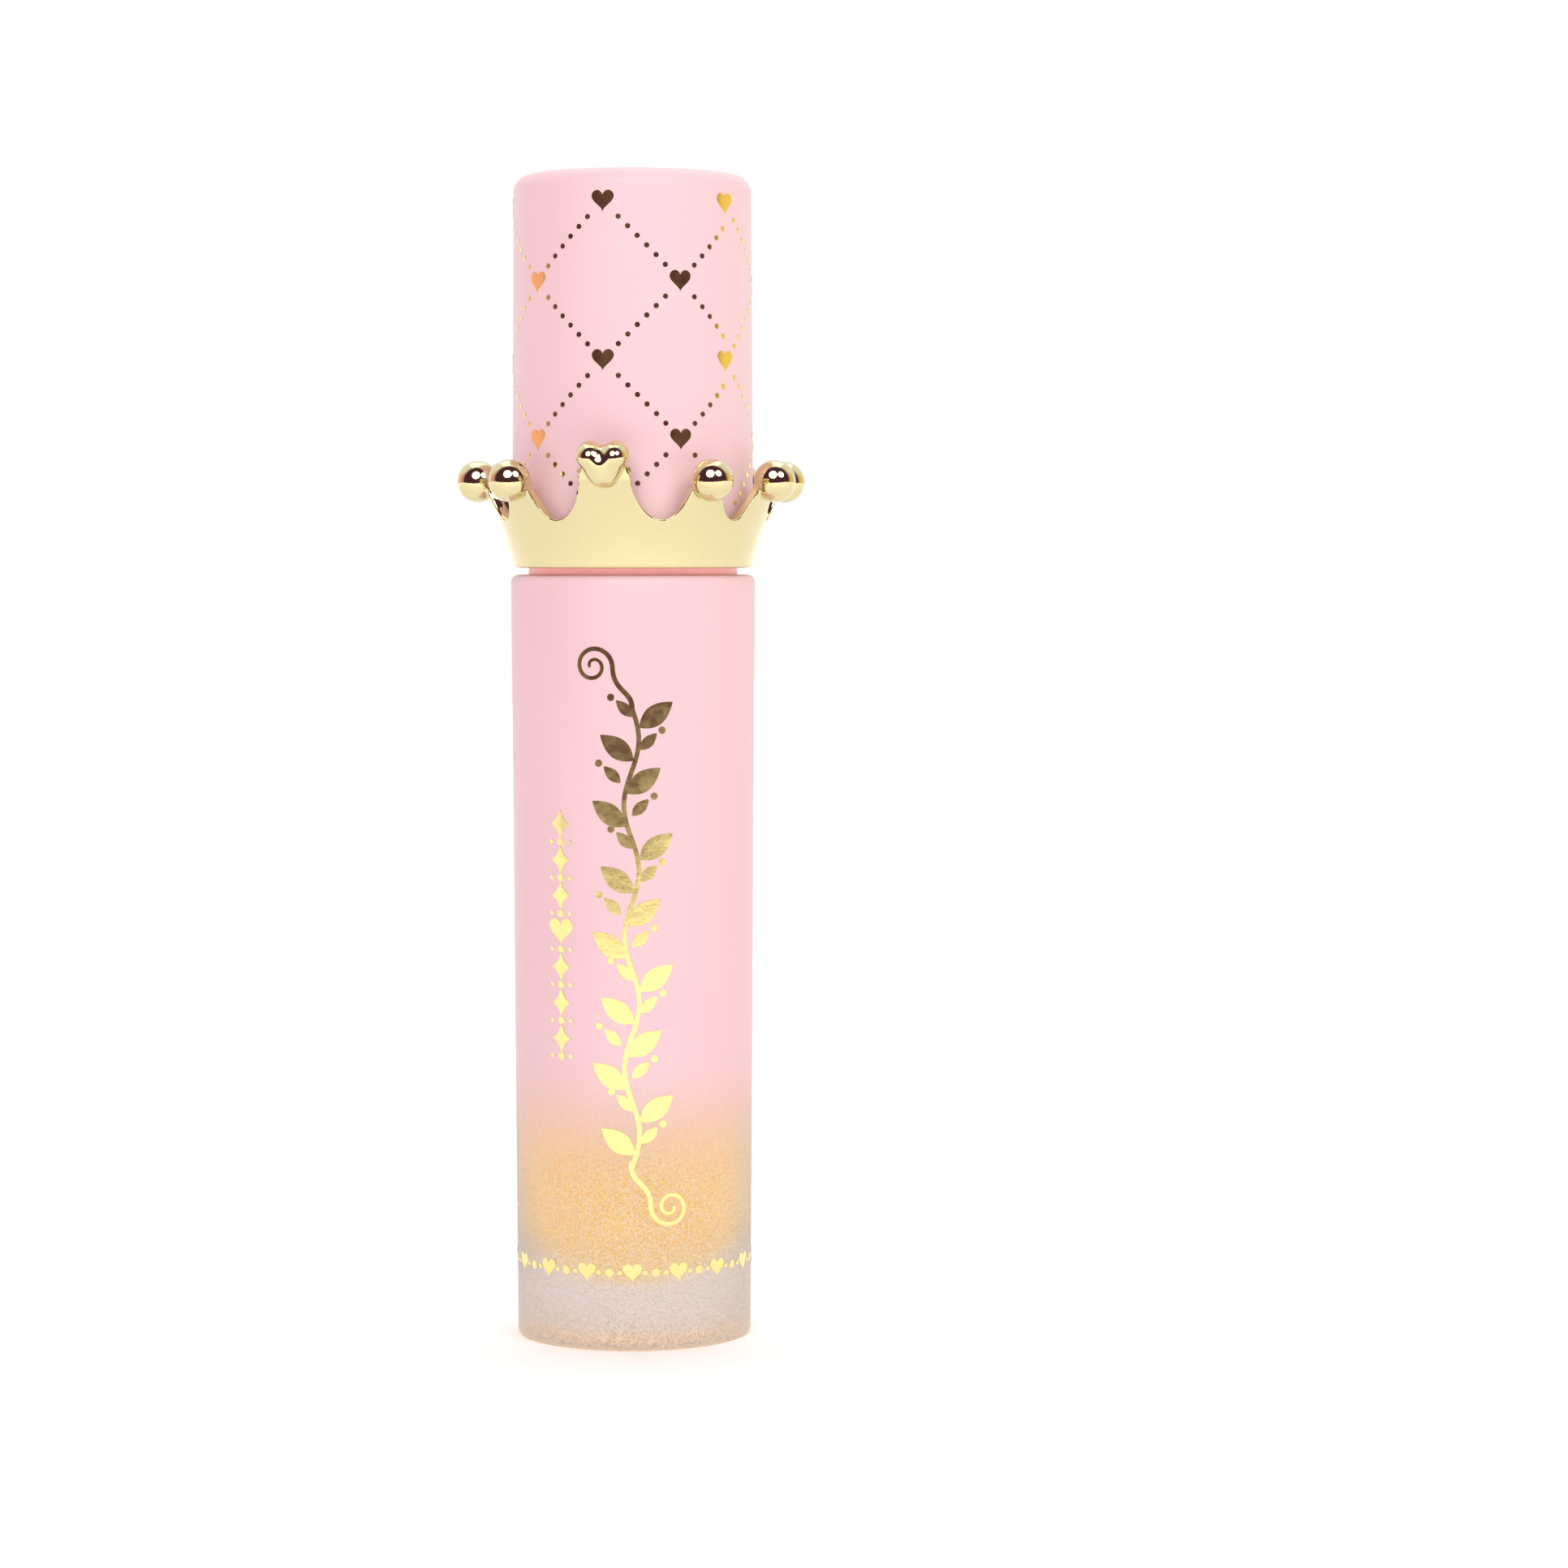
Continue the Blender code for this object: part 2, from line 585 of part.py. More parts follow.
def make_wand_rod(material):
    shoulder_z = ROOF_Z - SLIDE_GAP
    spigot_top = shoulder_z + ROD_SPIGOT_LENGTH
    bead_z = spigot_top - ROD_BEAD_DROP + SLIDE_GAP
    bead_rise = ROD_BEAD_RADIUS - ROD_SPIGOT_RADIUS - SEAT_GAP
    outline = [
        (0.0, ROD_END_Z + ROD_SOCKET_DEPTH),
        (ROD_SOCKET_RADIUS, ROD_END_Z + ROD_SOCKET_DEPTH),
        (ROD_SOCKET_RADIUS, ROD_END_Z),
        (ROD_TIP_RADIUS - ROD_END_CHAMFER, ROD_END_Z),
        (ROD_TIP_RADIUS, ROD_END_Z + ROD_END_CHAMFER),
        (ROD_RADIUS, BODY_HEIGHT - ROD_TAPER_DROP),
        (ROD_RADIUS, shoulder_z),
        (ROD_SPIGOT_RADIUS, shoulder_z),
        *bead(ROD_SPIGOT_RADIUS, bead_rise, bead_z, ROD_BEAD_HALF_WIDTH, 1),
        (ROD_SPIGOT_RADIUS, spigot_top - EDGE_CHAMFER),
        (ROD_SPIGOT_RADIUS - EDGE_CHAMFER, spigot_top),
        (0.0, spigot_top),
    ]
    turned("wand_rod", outline, material, SMALL_STEPS)


def tip_sections(shrink):
    """Sections of the flocked tip from its end upwards, drawn in and shortened by shrink."""
    length = TIP_TOP_Z - TIP_END_Z - shrink
    sections = []
    for share, lean, wide, thick in reversed(TIP_STATIONS):
        narrow = min(shrink, TIP_MOST_SHRINK * thick)
        sections.append((lean, TIP_TOP_Z - length * share, wide - narrow, thick - narrow))
    return sections


def make_tip(flock_material, core_material):
    flock = lofted("tip_flock", tip_sections(0.0), flock_material)
    mouth, plug = FLOCK_MOUTH_RADIUS, ROD_SOCKET_RADIUS - SEAT_GAP
    pocket = tip_sections(FLOCK_THICKNESS)[:-1]
    pocket += [(0.0, z, mouth, mouth) for z in (TIP_TOP_Z, TIP_TOP_Z + CUTTER_OVERSHOOT)]
    boolean(flock, lofted("flock_pocket", pocket, None), "DIFFERENCE")
    plug_top = ROD_END_Z + PLUG_LENGTH
    plug_end = plug - EDGE_CHAMFER
    core = tip_sections(FLOCK_THICKNESS + SLIDE_GAP)[:-1]
    core += [
        (0.0, TIP_TOP_Z, plug, plug),
        (0.0, plug_top - EDGE_CHAMFER, plug, plug),
        (0.0, plug_top, plug_end, plug_end),
    ]
    lofted("tip_core", core, core_material)


def make_gloss(material):
    wall = cavity_outline(GLOSS_GAP, GLOSS_LEVEL_Z)
    gloss = turned("gloss", wall + [(0.0, GLOSS_LEVEL_Z)], material, SMALL_STEPS)
    wand = tip_sections(-GLOSS_WAND_GAP)
    rod = ROD_RADIUS + GLOSS_WAND_GAP
    wand += [(0.0, z + CUTTER_OVERSHOOT, rod, rod) for z in (ROD_END_Z, GLOSS_LEVEL_Z)]
    boolean(gloss, lofted("gloss_hollow", wand, None), "DIFFERENCE")


def main():
    clear_scene()
    frosted_pink = make_material("frosted_pink", (0.95, 0.72, 0.76), 0.45)
    soft_touch_pink = make_material("soft_touch_pink", (0.96, 0.70, 0.75), 0.38)
    gold = make_material("gold_plating", (0.98, 0.80, 0.38), 0.08, 1.0)
    natural = make_material("natural_plastic", (0.93, 0.91, 0.90), 0.35)
    soft_white = make_material("soft_white_plastic", (0.92, 0.92, 0.90), 0.5)
    foam = make_material("white_foam", (0.95, 0.95, 0.94), 0.8)
    honey_flock = make_material("honey_flock", (0.97, 0.72, 0.24), 0.9)
    honey_gloss = make_material("honey_gloss", (0.96, 0.74, 0.30), 0.15)
    make_bottle(frosted_pink)
    make_wiper(soft_white)
    make_gloss(honey_gloss)
    make_seal_ring(foam)
    make_wand_rod(natural)
    make_tip(honey_flock, soft_white)
    make_inner_cap(natural)
    make_cap_shell(soft_touch_pink)
    make_crown(gold)


main()
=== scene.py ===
"""Looks of a lip gloss tube: fine meshes, gold foil ornament and procedural materials on the CAD frame.

All lengths are in metres. +Z runs up the tube's axis and the crown's heart faces -Y.
"""

import math

import bmesh
import bpy
import numpy as np
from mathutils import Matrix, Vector


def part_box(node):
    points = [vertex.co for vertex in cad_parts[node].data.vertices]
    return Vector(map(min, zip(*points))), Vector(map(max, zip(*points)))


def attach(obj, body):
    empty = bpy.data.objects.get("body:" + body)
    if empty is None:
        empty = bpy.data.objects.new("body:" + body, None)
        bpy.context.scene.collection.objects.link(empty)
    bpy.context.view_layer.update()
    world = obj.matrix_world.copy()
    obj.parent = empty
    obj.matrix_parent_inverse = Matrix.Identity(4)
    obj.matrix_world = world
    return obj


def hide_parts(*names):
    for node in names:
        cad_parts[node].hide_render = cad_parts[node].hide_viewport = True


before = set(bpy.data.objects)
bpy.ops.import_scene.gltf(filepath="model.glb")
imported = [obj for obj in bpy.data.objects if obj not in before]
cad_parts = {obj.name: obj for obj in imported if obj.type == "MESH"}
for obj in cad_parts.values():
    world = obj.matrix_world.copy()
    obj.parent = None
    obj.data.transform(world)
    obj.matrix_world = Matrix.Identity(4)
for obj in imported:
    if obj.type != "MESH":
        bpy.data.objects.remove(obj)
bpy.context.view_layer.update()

# Places read from the frame.
_, BOTTLE_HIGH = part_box("bottle")
_, SHELL_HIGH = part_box("cap_shell")
CROWN_LOW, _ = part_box("crown")
GLOSS_LOW, GLOSS_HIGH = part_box("gloss")
ROD_LOW, ROD_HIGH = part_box("wand_rod")
FRONT = -math.pi / 2

# Bottle.
NECK_TOP_Z = BOTTLE_HIGH.z
NECK_HEIGHT = 0.0116
SHOULDER_Z = NECK_TOP_Z - NECK_HEIGHT
BODY_TOP_RADIUS = BOTTLE_HIGH.x
BODY_TAPER = 0.0004
BODY_BASE_RADIUS = BODY_TOP_RADIUS - BODY_TAPER
SHOULDER_FILLET = 0.0006
BASE_FILLET = 0.0004
EDGE_ROUND = 0.0003
COLLAR_RADIUS = 0.00855
COLLAR_TOP_Z = SHOULDER_Z + 0.0022
NECK_RADIUS = 0.0061
NECK_BORE_RADIUS = 0.0047
WIPER_GROOVE_DEPTH = 0.0002
WIPER_GROOVE_Z = NECK_TOP_Z - 0.0030
WIPER_GROOVE_HALF_WIDTH = 0.0006
CAVITY_RADIUS = 0.0062
CAVITY_FLOOR_Z = GLOSS_LOW.z - 0.0001
CAVITY_BOWL_DEPTH = 0.0050
CAVITY_TAPER_TOP_Z = SHOULDER_Z - 0.0019
CAVITY_TAPER_LENGTH = 0.0030
BASE_RECESS_RADIUS = 0.0064
BASE_RECESS_DEPTH = 0.0006
GATE_RADIUS = 0.0009
GATE_HEIGHT = 0.0002

# Screw thread.
THREAD_PITCH = 0.0030
THREAD_TURNS = 1.75
THREAD_DEPTH = 0.00055
THREAD_START_Z = COLLAR_TOP_Z + 0.0022
THREAD_LEAD_IN = math.radians(45)
THREAD_ROOT_WIDTH = 0.0012
THREAD_EMBED = 0.0003
THREAD_END_FADE = 0.1
THREAD_FULLNESS = 0.6

# Gloss: it wets the cavity's wall, so it reaches a little into it and no air shows between them.
GLOSS_WETTING = 0.00003
GLOSS_BORE_RADIUS = 0.0040
GLOSS_BORE_FLOOR_Z = CAVITY_FLOOR_Z + 0.0026
GLOSS_BORE_FILLET = 0.0016

# Cap.
CAP_TOP_Z = SHELL_HIGH.z
CAP_FOOT_Z = CROWN_LOW.z
CAP_TOP_RADIUS = 0.0097
CAP_FOOT_RADIUS = 0.00985
CAP_TOP_FILLET = 0.0014
CAP_TOP_THICKNESS = 0.0015
CAP_BORE_RADIUS = 0.0084
CAP_CEILING_FILLET = 0.0006
SPIGOT_RADIUS = 0.0093
SPIGOT_START = 0.0020
SPIGOT_END = 0.0034

# Crown.
CROWN_RIM_RADIUS = 0.00992
CROWN_MOUTH_RADIUS = 0.00875
CROWN_FLARE_SLOPE = 0.2
CROWN_FLARE_CURVE = 24.5
CROWN_WALL = 0.0009
VALLEY_HEIGHT = 0.0039
BALL_COUNT = 9
BALL_RADIUS = 0.0017
BALL_HEIGHT = 0.0070
BALL_RING_RADIUS = 0.01267
HEART_TOOTH_ANGLE = math.radians(81)
VALLEY_HALF_ANGLE = math.radians(11.2)
HEART_VALLEY_HALF_ANGLE = math.radians(13.3)
VALLEY_POWER = 1 / 1.6
TOOTH_ROUND_HEIGHT = 0.0014
CROWN_FOOT_ROUND = 0.00018
CROWN_EDGE_ROUND = 0.00016
HEART_HEIGHT_ON_CROWN = 0.00842
HEART_TOOTH_TOP = 0.0088
HEART_LOBE_SIDE = 0.00098
HEART_LOBE_HEIGHT = 0.00055
HEART_LOBE_RADIUS = 0.00115
HEART_TIP_HEIGHT = -0.00072
HEART_TIP_RADIUS = 0.00118
HEART_TIP_THINNING = 0.12
HEART_LEAN = math.radians(18)
HEART_BLEND = 0.00055
HEART_DEPTH = 0.0031
HEART_RING_RADIUS = 0.01277
TOOTH_END_BLEND = 0.00018
CROWN_VOXEL = 0.00011
CROWN_DRAW_PASSES = 8
CROWN_DRAW_STEP = 0.0001
BALL_PITCH = (2 * math.pi - HEART_TOOTH_ANGLE) / (BALL_COUNT - 1)

# Wand.
ROD_SOCKET_RADIUS = 0.00185
ROD_SOCKET_DEPTH = 0.0056
ROD_TIP_RADIUS = 0.00274
ROD_TIP_ROUND = 0.0002
ROD_TAPER_TOP_Z = SHOULDER_Z - 0.0100
ROD_SPIGOT_RADIUS = 0.00235
ROD_SPIGOT_LENGTH = 0.0086
ROD_BEAD_HEIGHT = 0.00015
ROD_BEAD_DROP = 0.0015
ROD_BEAD_HALF_WIDTH = 0.0005
ROD_END_CHAMFER = 0.0003
RESIDUE_LENGTH = 0.0105
RESIDUE_FULL_LENGTH = 0.002
RESIDUE_RUNS = 0.008
FLOCK_VOXEL = 0.00022
FLOCK_SMOOTHING = 6
FLOCK_SEED = 7
FLOCK_INWARD_LIMIT = -0.0006
FLOCK_AXIS_GAP = 0.0004
FLOCK_ROD_GAP = 0.0003
FIBRE_COUNT = 9000
FIBRE_LENGTH = 0.00042
FIBRE_SHORTEST = 0.55
FIBRE_WIDTH = 0.00004
FIBRE_ROOT = 0.00005
FIBRE_SPREAD = 0.35
FIBRE_DROOP = 0.25
NAP_DEPTH = 0.00018

# Gold foil: hearts and dots on the cap, a vine and two borders on the bottle.
FOIL_LIFT = 0.00003
LATTICE_COLUMNS = 10
LATTICE_PITCH = math.radians(37.05)
LATTICE_FIRST_ANGLE = math.radians(60.2)
LATTICE_DOTS = 6
LATTICE_DOTS_START = 0.20
LATTICE_DOTS_SPAN = 0.60
LATTICE_ROWS = 4
LATTICE_ROW = 0.0126
LATTICE_TOP_Z = CAP_TOP_Z - 0.0027
LATTICE_LOW_Z = CAP_FOOT_Z + 0.0040
FOIL_HEART_WIDTH = 0.00183
FOIL_HEART_TALL = 0.0017
FOIL_DOT_RADIUS = 0.000215
VINE_ANGLE = math.radians(9.7)
VINE_LOW_Z = 0.0150
VINE_HIGH_Z = 0.0520
VINE_WAVE = 0.0006
VINE_WAVELENGTH = 0.0106
VINE_LEAVES = 14
VINE_STEM_WIDTH = 0.00038
TENDRIL_WIDTHS = (0.00042, 0.00024)
TENDRIL_SIZE = 0.0016
TENDRIL_TURNS = 1.55
TENDRIL_WIND_IN = 0.84
TENDRIL_CENTRE = (-0.0031, VINE_HIGH_Z + 0.0033)
TENDRIL_OVERLAP = 0.0004
TENDRIL_START_PULL = (0.0003, 0.0014)
TENDRIL_END_PULL = 0.0022
BIG_LEAF = (0.0034, 0.00165)
SMALL_LEAF = (0.0019, 0.0009)
BERRY_RADIUS = 0.00030
VINE_STEPS = 150
VINE_LEAF_PHASE = 0.4
# Distance beside the stem, rise and lean of what grows at each leaf joint.
BIG_LEAF_PLACE = (0.00150, 0.0010, 0.92)
SMALL_LEAF_PLACE = (-0.00105, 0.0015, -0.80)
BERRY_PLACE = (-0.00215, 0.0024, 0.0)
BORDER_ANGLE = math.radians(-26)
BORDER_LOW_Z = 0.0238
BORDER_HIGH_Z = 0.0440
BORDER_UNITS = 7
BORDER_HEART = (0.0023, 0.0021)
BORDER_LOZENGE = (0.0017, 0.0023)
BORDER_DOT_RADIUS = 0.00030
BORDER_SIDE_DOT_RADIUS = 0.00017
BORDER_SIDE_DOT_OFFSET = 0.0009
FOOT_RING_Z = 0.0064
FOOT_RING_UNITS = 16
FOOT_RING_HEART = (0.00155, 0.00145)
# Share of the way to the next heart, and radius.
FOOT_RING_DOTS = ((0.27, 0.00019), (0.5, 0.00034), (0.73, 0.00019))

# Camera and studio.
CAMERA_DISTANCE = 0.353
CAMERA_HEIGHT = 0.06565
CAMERA_AZIMUTH = math.radians(10.7)
CAMERA_TURN = math.radians(8.69)
CAMERA_PITCH = math.radians(3.3)
CAMERA_LENS = 98.6
ROOM_EDGE = (-0.18, 0.22)
WHITE_SURROUND = (1.0, 1.0, 1.0)
DIM_ROOM = (0.085, 0.03, 0.06)
LEFT_GLOW = (0.92, 0.46, 0.48)
RIGHT_GLOW = (0.93, 0.70, 0.26)
GLOW_EDGE = (0.72, 0.96)
LIGHTS_AIM = (0, 0, 0.05)
FLOOR_HALF = 1.6
FLOOR_FRONT_Y = -0.42
FLOOR_GLOW_REACH = (0.1, 0.7)
FLOOR_GLOW = (0.16, 0.75)

# Paint, frost, plastics, foil and gloss.
PAINT_CLEAR_Z = 0.0135
PAINT_FULL_Z = 0.0240
PAINT_SCATTER = 0.010
PAINT_EDGE = 0.0001
# Where the collar's painted glow fades in, just above the shoulder.
COLLAR_GLOW_EDGES = (SHOULDER_Z + 0.00002, SHOULDER_Z + 0.00012)
PINK_PAINT = (0.91, 0.625, 0.655)
PINK_PAINT_DEEP = (0.89, 0.58, 0.615)
# Deeper glowing pink of the collar: painted light for pink light bounced in the gap under the cap.
COLLAR_PAINTED_GLOW = (1.0, 0.52, 0.50)
BARE_FROST = (0.82, 0.775, 0.765)
NECK_FROST = (0.95, 0.92, 0.925)
# Peach tint at the foot: a painted glow for light carried down through the clear base.
BASE_PAINTED_GLOW = (1.0, 0.85, 0.71)
BASE_GLOW_EDGES = (0.0022, 0.0006)
# Honey tint of the bare frost over the gloss: a painted glow for the gloss's light scattered in the frost.
HONEY_PAINTED_GLOW = (0.84, 0.755, 0.64)
HONEY_GLOW_EDGES = (0.0058, 0.0095)
FROST_SPECKLE = (0.64, 0.52, 0.56)
GATE_SHADE = (0.50, 0.40, 0.34)
GATE_SHADE_RADIUS = 0.0022
GOLD = (0.715, 0.635, 0.34)
GOLD_PALE = (0.75, 0.665, 0.375)
FOIL_GOLD = (1.0, 0.79, 0.28)
FOIL_GOLD_PALE = (1.0, 0.84, 0.37)
HONEY = (0.95, 0.62, 0.09)
HONEY_LIGHT = (1.0, 0.76, 0.22)
PEARL = (1.0, 0.90, 0.66)
SHEEN_PINK = (1.0, 0.86, 0.88)
SHEEN_HONEY = (1.0, 0.85, 0.5)
ROD_WHITE = (0.90, 0.90, 0.92)
ROD_SCATTER = (1.0, 0.85, 0.75)
ROD_WET = (0.97, 0.74, 0.36)
FLOCK_DEEP = (0.86, 0.52, 0.13)
FLOCK_PALE = (0.98, 0.72, 0.28)
FLOCK_SPARKLE = (1.0, 0.88, 0.55)
WIPER_WHITE = (0.86, 0.85, 0.82)
FOAM_WHITE = (0.88, 0.88, 0.87)
INNER_CAP_TAUPE = (0.62, 0.53, 0.51)
CORE_WHITE = (0.84, 0.83, 0.80)
FLOOR_GREY = (0.86, 0.86, 0.86)
FLOOR_GREY_PALE = (0.88, 0.88, 0.88)
BLACK = (0.0, 0.0, 0.0)

TURNED_STEPS = 128
ROD_STEPS = 96
CAVITY_STEPS = 20
SHARP_ANGLE = 35.0
CAD_SHARP_ANGLE = 30.0


# ---------------------------------------------------------------- meshes


def mesh_object(name, points, faces, material, sharp_angle=SHARP_ANGLE):
    mesh = bpy.data.meshes.new(name)
    mesh.from_pydata([tuple(p) for p in points], [], faces)
    mesh.update()
    mesh.materials.append(material)
    mesh.shade_smooth()
    if sharp_angle is not None:
        mesh.set_sharp_from_angle(angle=math.radians(sharp_angle))
    obj = bpy.data.objects.new(name, mesh)
    bpy.context.scene.collection.objects.link(obj)
    return obj


def arc(centre_r, centre_z, radius_r, radius_z, start_deg, end_deg, steps):
    """Points (r, z) of an elliptical arc, both ends included."""
    angles = [math.radians(start_deg + (end_deg - start_deg) * i / steps) for i in range(steps + 1)]
    return [(centre_r + radius_r * math.cos(a), centre_z + radius_z * math.sin(a)) for a in angles]


def turned(name, outline, material, steps=TURNED_STEPS):
    """Solid of revolution about Z. Its outline of points (r, z) starts and ends on the axis."""
    points, rings = [], []
    for r, z in outline:
        if r == 0:
            rings.append([len(points)] * steps)
            points.append((0.0, 0.0, z))
            continue
        rings.append(list(range(len(points), len(points) + steps)))
        for j in range(steps):
            a = 2 * math.pi * j / steps
            points.append((r * math.cos(a), r * math.sin(a), z))
    faces = []
    for low, high in zip(rings, rings[1:]):
        for j in range(steps):
            k = (j + 1) % steps
            corners = [low[j], low[k], high[k], high[j]]
            face = [c for n, c in enumerate(corners) if c not in corners[:n]]
            if len(face) > 2:
                faces.append(face)
    return mesh_object(name, points, faces, material)


def finish_piece(obj, body, slot, *replaced):
    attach(obj, body)
    if replaced:
        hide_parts(*replaced)


def applied(obj):
    """A new mesh: obj's own with its modifiers applied."""
    graph = bpy.context.evaluated_depsgraph_get()
    return bpy.data.meshes.new_from_object(obj.evaluated_get(graph))


def remeshed_copy(node, voxel_size):
    """A working copy of a CAD node with a voxel remesh on it."""
    copy = bpy.data.objects.new(node + "_start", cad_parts[node].data.copy())
    bpy.context.scene.collection.objects.link(copy)
    remesh = copy.modifiers.new("remesh", "REMESH")
    remesh.mode = "VOXEL"
    remesh.voxel_size = voxel_size
    return copy


# ---------------------------------------------------------------- materials


class Nodes:
    """A node tree, and short calls that add nodes to it."""

    def __init__(self, tree):
        self.tree = tree

    def add(self, kind, **properties):
        node = self.tree.nodes.new(kind)
        for key, value in properties.items():
            setattr(node, key, value)
        return node

    def feed(self, socket, value):
        """Links value into socket if it is an output, or sets it."""
        if isinstance(value, bpy.types.NodeSocket):
            self.tree.links.new(value, socket)
        else:
            socket.default_value = value

    def math(self, operation, a, b):
        node = self.add("ShaderNodeMath", operation=operation)
        self.feed(node.inputs[0], a)
        self.feed(node.inputs[1], b)
        return node.outputs[0]

    def remap(self, value, low, high, to_low=0.0, to_high=1.0, smooth=False):
        kind = "SMOOTHSTEP" if smooth else "LINEAR"
        node = self.add("ShaderNodeMapRange", interpolation_type=kind)
        self.feed(node.inputs["Value"], value)
        limits = {"From Min": low, "From Max": high, "To Min": to_low, "To Max": to_high}
        for socket, number in limits.items():
            node.inputs[socket].default_value = number
        return node.outputs["Result"]

    def mix(self, factor, a, b):
        """Colour a where factor is 0 and b where it is 1."""
        node = self.add("ShaderNodeMix", data_type="RGBA")
        self.feed(node.inputs["Factor"], factor)
        colours = [s for s in node.inputs if s.type == "RGBA"]
        for socket, value in zip(colours, (a, b)):
            self.feed(socket, value if isinstance(value, bpy.types.NodeSocket) else (*value, 1.0))
        return next(s for s in node.outputs if s.type == "RGBA")


class Shading(Nodes):
    """A material's node tree with a Principled shader, laid out in the object's own coordinates."""

    def __init__(self, name, **sockets):
        self.material = bpy.data.materials.new(name)
        self.material.use_nodes = True
        super().__init__(self.material.node_tree)
        self.shader = self.tree.nodes["Principled BSDF"]
        for socket, value in sockets.items():
            self.shader.inputs[socket.replace("_", " ")].default_value = value
        self.place = self.add("ShaderNodeTexCoord").outputs["Object"]

    def drive(self, **sockets):
        for socket, value in sockets.items():
            self.feed(self.shader.inputs[socket.replace("_", " ")], value)

    def noise(self, scale, detail=3.0, roughness=0.5, place=None):
        node = self.add("ShaderNodeTexNoise")
        self.feed(node.inputs["Vector"], place or self.place)
        node.inputs["Scale"].default_value = scale
        node.inputs["Detail"].default_value = detail
        node.inputs["Roughness"].default_value = roughness
        return node.outputs["Fac"]

    def cells(self, scale):
        node = self.add("ShaderNodeTexVoronoi")
        self.feed(node.inputs["Vector"], self.place)
        node.inputs["Scale"].default_value = scale
        return node

    def height(self):
        """The object's own z, in metres."""
        node = self.add("ShaderNodeSeparateXYZ")
        self.feed(node.inputs[0], self.place)
        return node.outputs["Z"]

    def distance(self):
        """Distance from the object's origin, in metres."""
        node = self.add("ShaderNodeVectorMath", operation="LENGTH")
        self.feed(node.inputs[0], self.place)
        return node.outputs["Value"]

    def bump(self, height, strength, distance):
        node = self.add("ShaderNodeBump")
        self.feed(node.inputs["Height"], height)
        node.inputs["Strength"].default_value = strength
        node.inputs["Distance"].default_value = distance
        return node.outputs["Normal"]


def bare_frost(m, z, neck):
    """The frost's colour without paint: a painted peach glow at the foot, a painted honey glow where the
    gloss lies behind, speckled over the gloss, pale on the neck.
    """
    # Painted glow: peach at the foot, for light carried through the clear base.
    frost = m.mix(m.remap(z, *BASE_GLOW_EDGES, smooth=True), BARE_FROST, BASE_PAINTED_GLOW)
    # Painted glow: honey tint where the gloss lies behind the frost.
    over_gloss = m.remap(z, *HONEY_GLOW_EDGES, smooth=True)
    frost = m.mix(over_gloss, frost, HONEY_PAINTED_GLOW)
    speckle = m.remap(m.noise(4300, 1, 0.5), 0.45, 0.65, 0.0, 0.4)
    frost = m.mix(m.math("MULTIPLY", speckle, over_gloss), frost, FROST_SPECKLE)
    gate = m.remap(m.distance(), GATE_SHADE_RADIUS, GATE_SHADE_RADIUS / 2)
    return m.mix(neck, m.mix(gate, frost, GATE_SHADE), NECK_FROST)


def frosted_bottle_material():
    """Frosted clear plastic under sprayed pink paint, which thins out to droplets and ends near the base. On
    the collar the real pink paint is swapped for a deeper pink that glows faintly: painted light for pink
    light bounced in the gap under the cap.
    """
    m = Shading("frosted_bottle", IOR=1.5, Emission_Strength=0.30)
    z = m.height()
    droplets = m.noise(6500, 2, 0.6)
    scatter = m.math("MULTIPLY", m.math("SUBTRACT", droplets, 0.5), PAINT_SCATTER)
    sprayed = m.remap(m.math("ADD", z, scatter), PAINT_CLEAR_Z, PAINT_FULL_Z, smooth=True)
    neck = m.remap(z, COLLAR_TOP_Z - PAINT_EDGE, COLLAR_TOP_Z + PAINT_EDGE)
    below_neck = m.math("SUBTRACT", 1.0, neck)
    paint = m.math("MULTIPLY", sprayed, below_neck)
    # The collar's painted glow: a deeper pink and a faint emission for pink light bounced under the cap.
    collar_glow = m.math("MULTIPLY", m.remap(z, *COLLAR_GLOW_EDGES), below_neck)
    pink = m.mix(collar_glow, m.mix(m.noise(60, 2), PINK_PAINT, PINK_PAINT_DEEP), COLLAR_PAINTED_GLOW)
    grain = m.remap(droplets, 0.35, 0.65)
    clear = m.math("MULTIPLY", m.remap(grain, 0, 1, 0.30, 1.0), m.remap(neck, 0, 1, 1.0, 0.3))
    m.drive(
        Base_Color=m.mix(paint, bare_frost(m, z, neck), pink),
        Transmission_Weight=m.math("MULTIPLY", m.math("SUBTRACT", 1.0, paint), clear),
        Roughness=m.remap(grain, 0, 1, 0.40, 0.50),
        Normal=m.bump(droplets, 0.12, 0.00004),
        # Only the collar glows: painted light, black emission everywhere else.
        Emission_Color=m.mix(collar_glow, BLACK, COLLAR_PAINTED_GLOW),
    )
    return m.material


def gloss_material():
    """Honey-gold liquid with a fine pearl shimmer; it glows faintly in its own honey colour, a painted glow
    for light scattered inside the liquid.
    """
    # Faint honey emission: a painted glow for light scattered in the liquid.
    m = Shading("honey_gloss", Emission_Strength=0.46, Emission_Color=(*HONEY, 1.0))
    flakes = m.cells(7000)
    sparkle = m.remap(flakes.outputs["Color"], 0.72, 0.95)
    swirl = m.noise(220, 3)
    body = m.mix(swirl, HONEY, HONEY_LIGHT)
    m.drive(
        Base_Color=m.mix(sparkle, body, PEARL),
        Metallic=m.math("MULTIPLY", sparkle, 0.6),
        Roughness=m.remap(sparkle, 0, 1, 0.35, 0.18),
    )
    return m.material


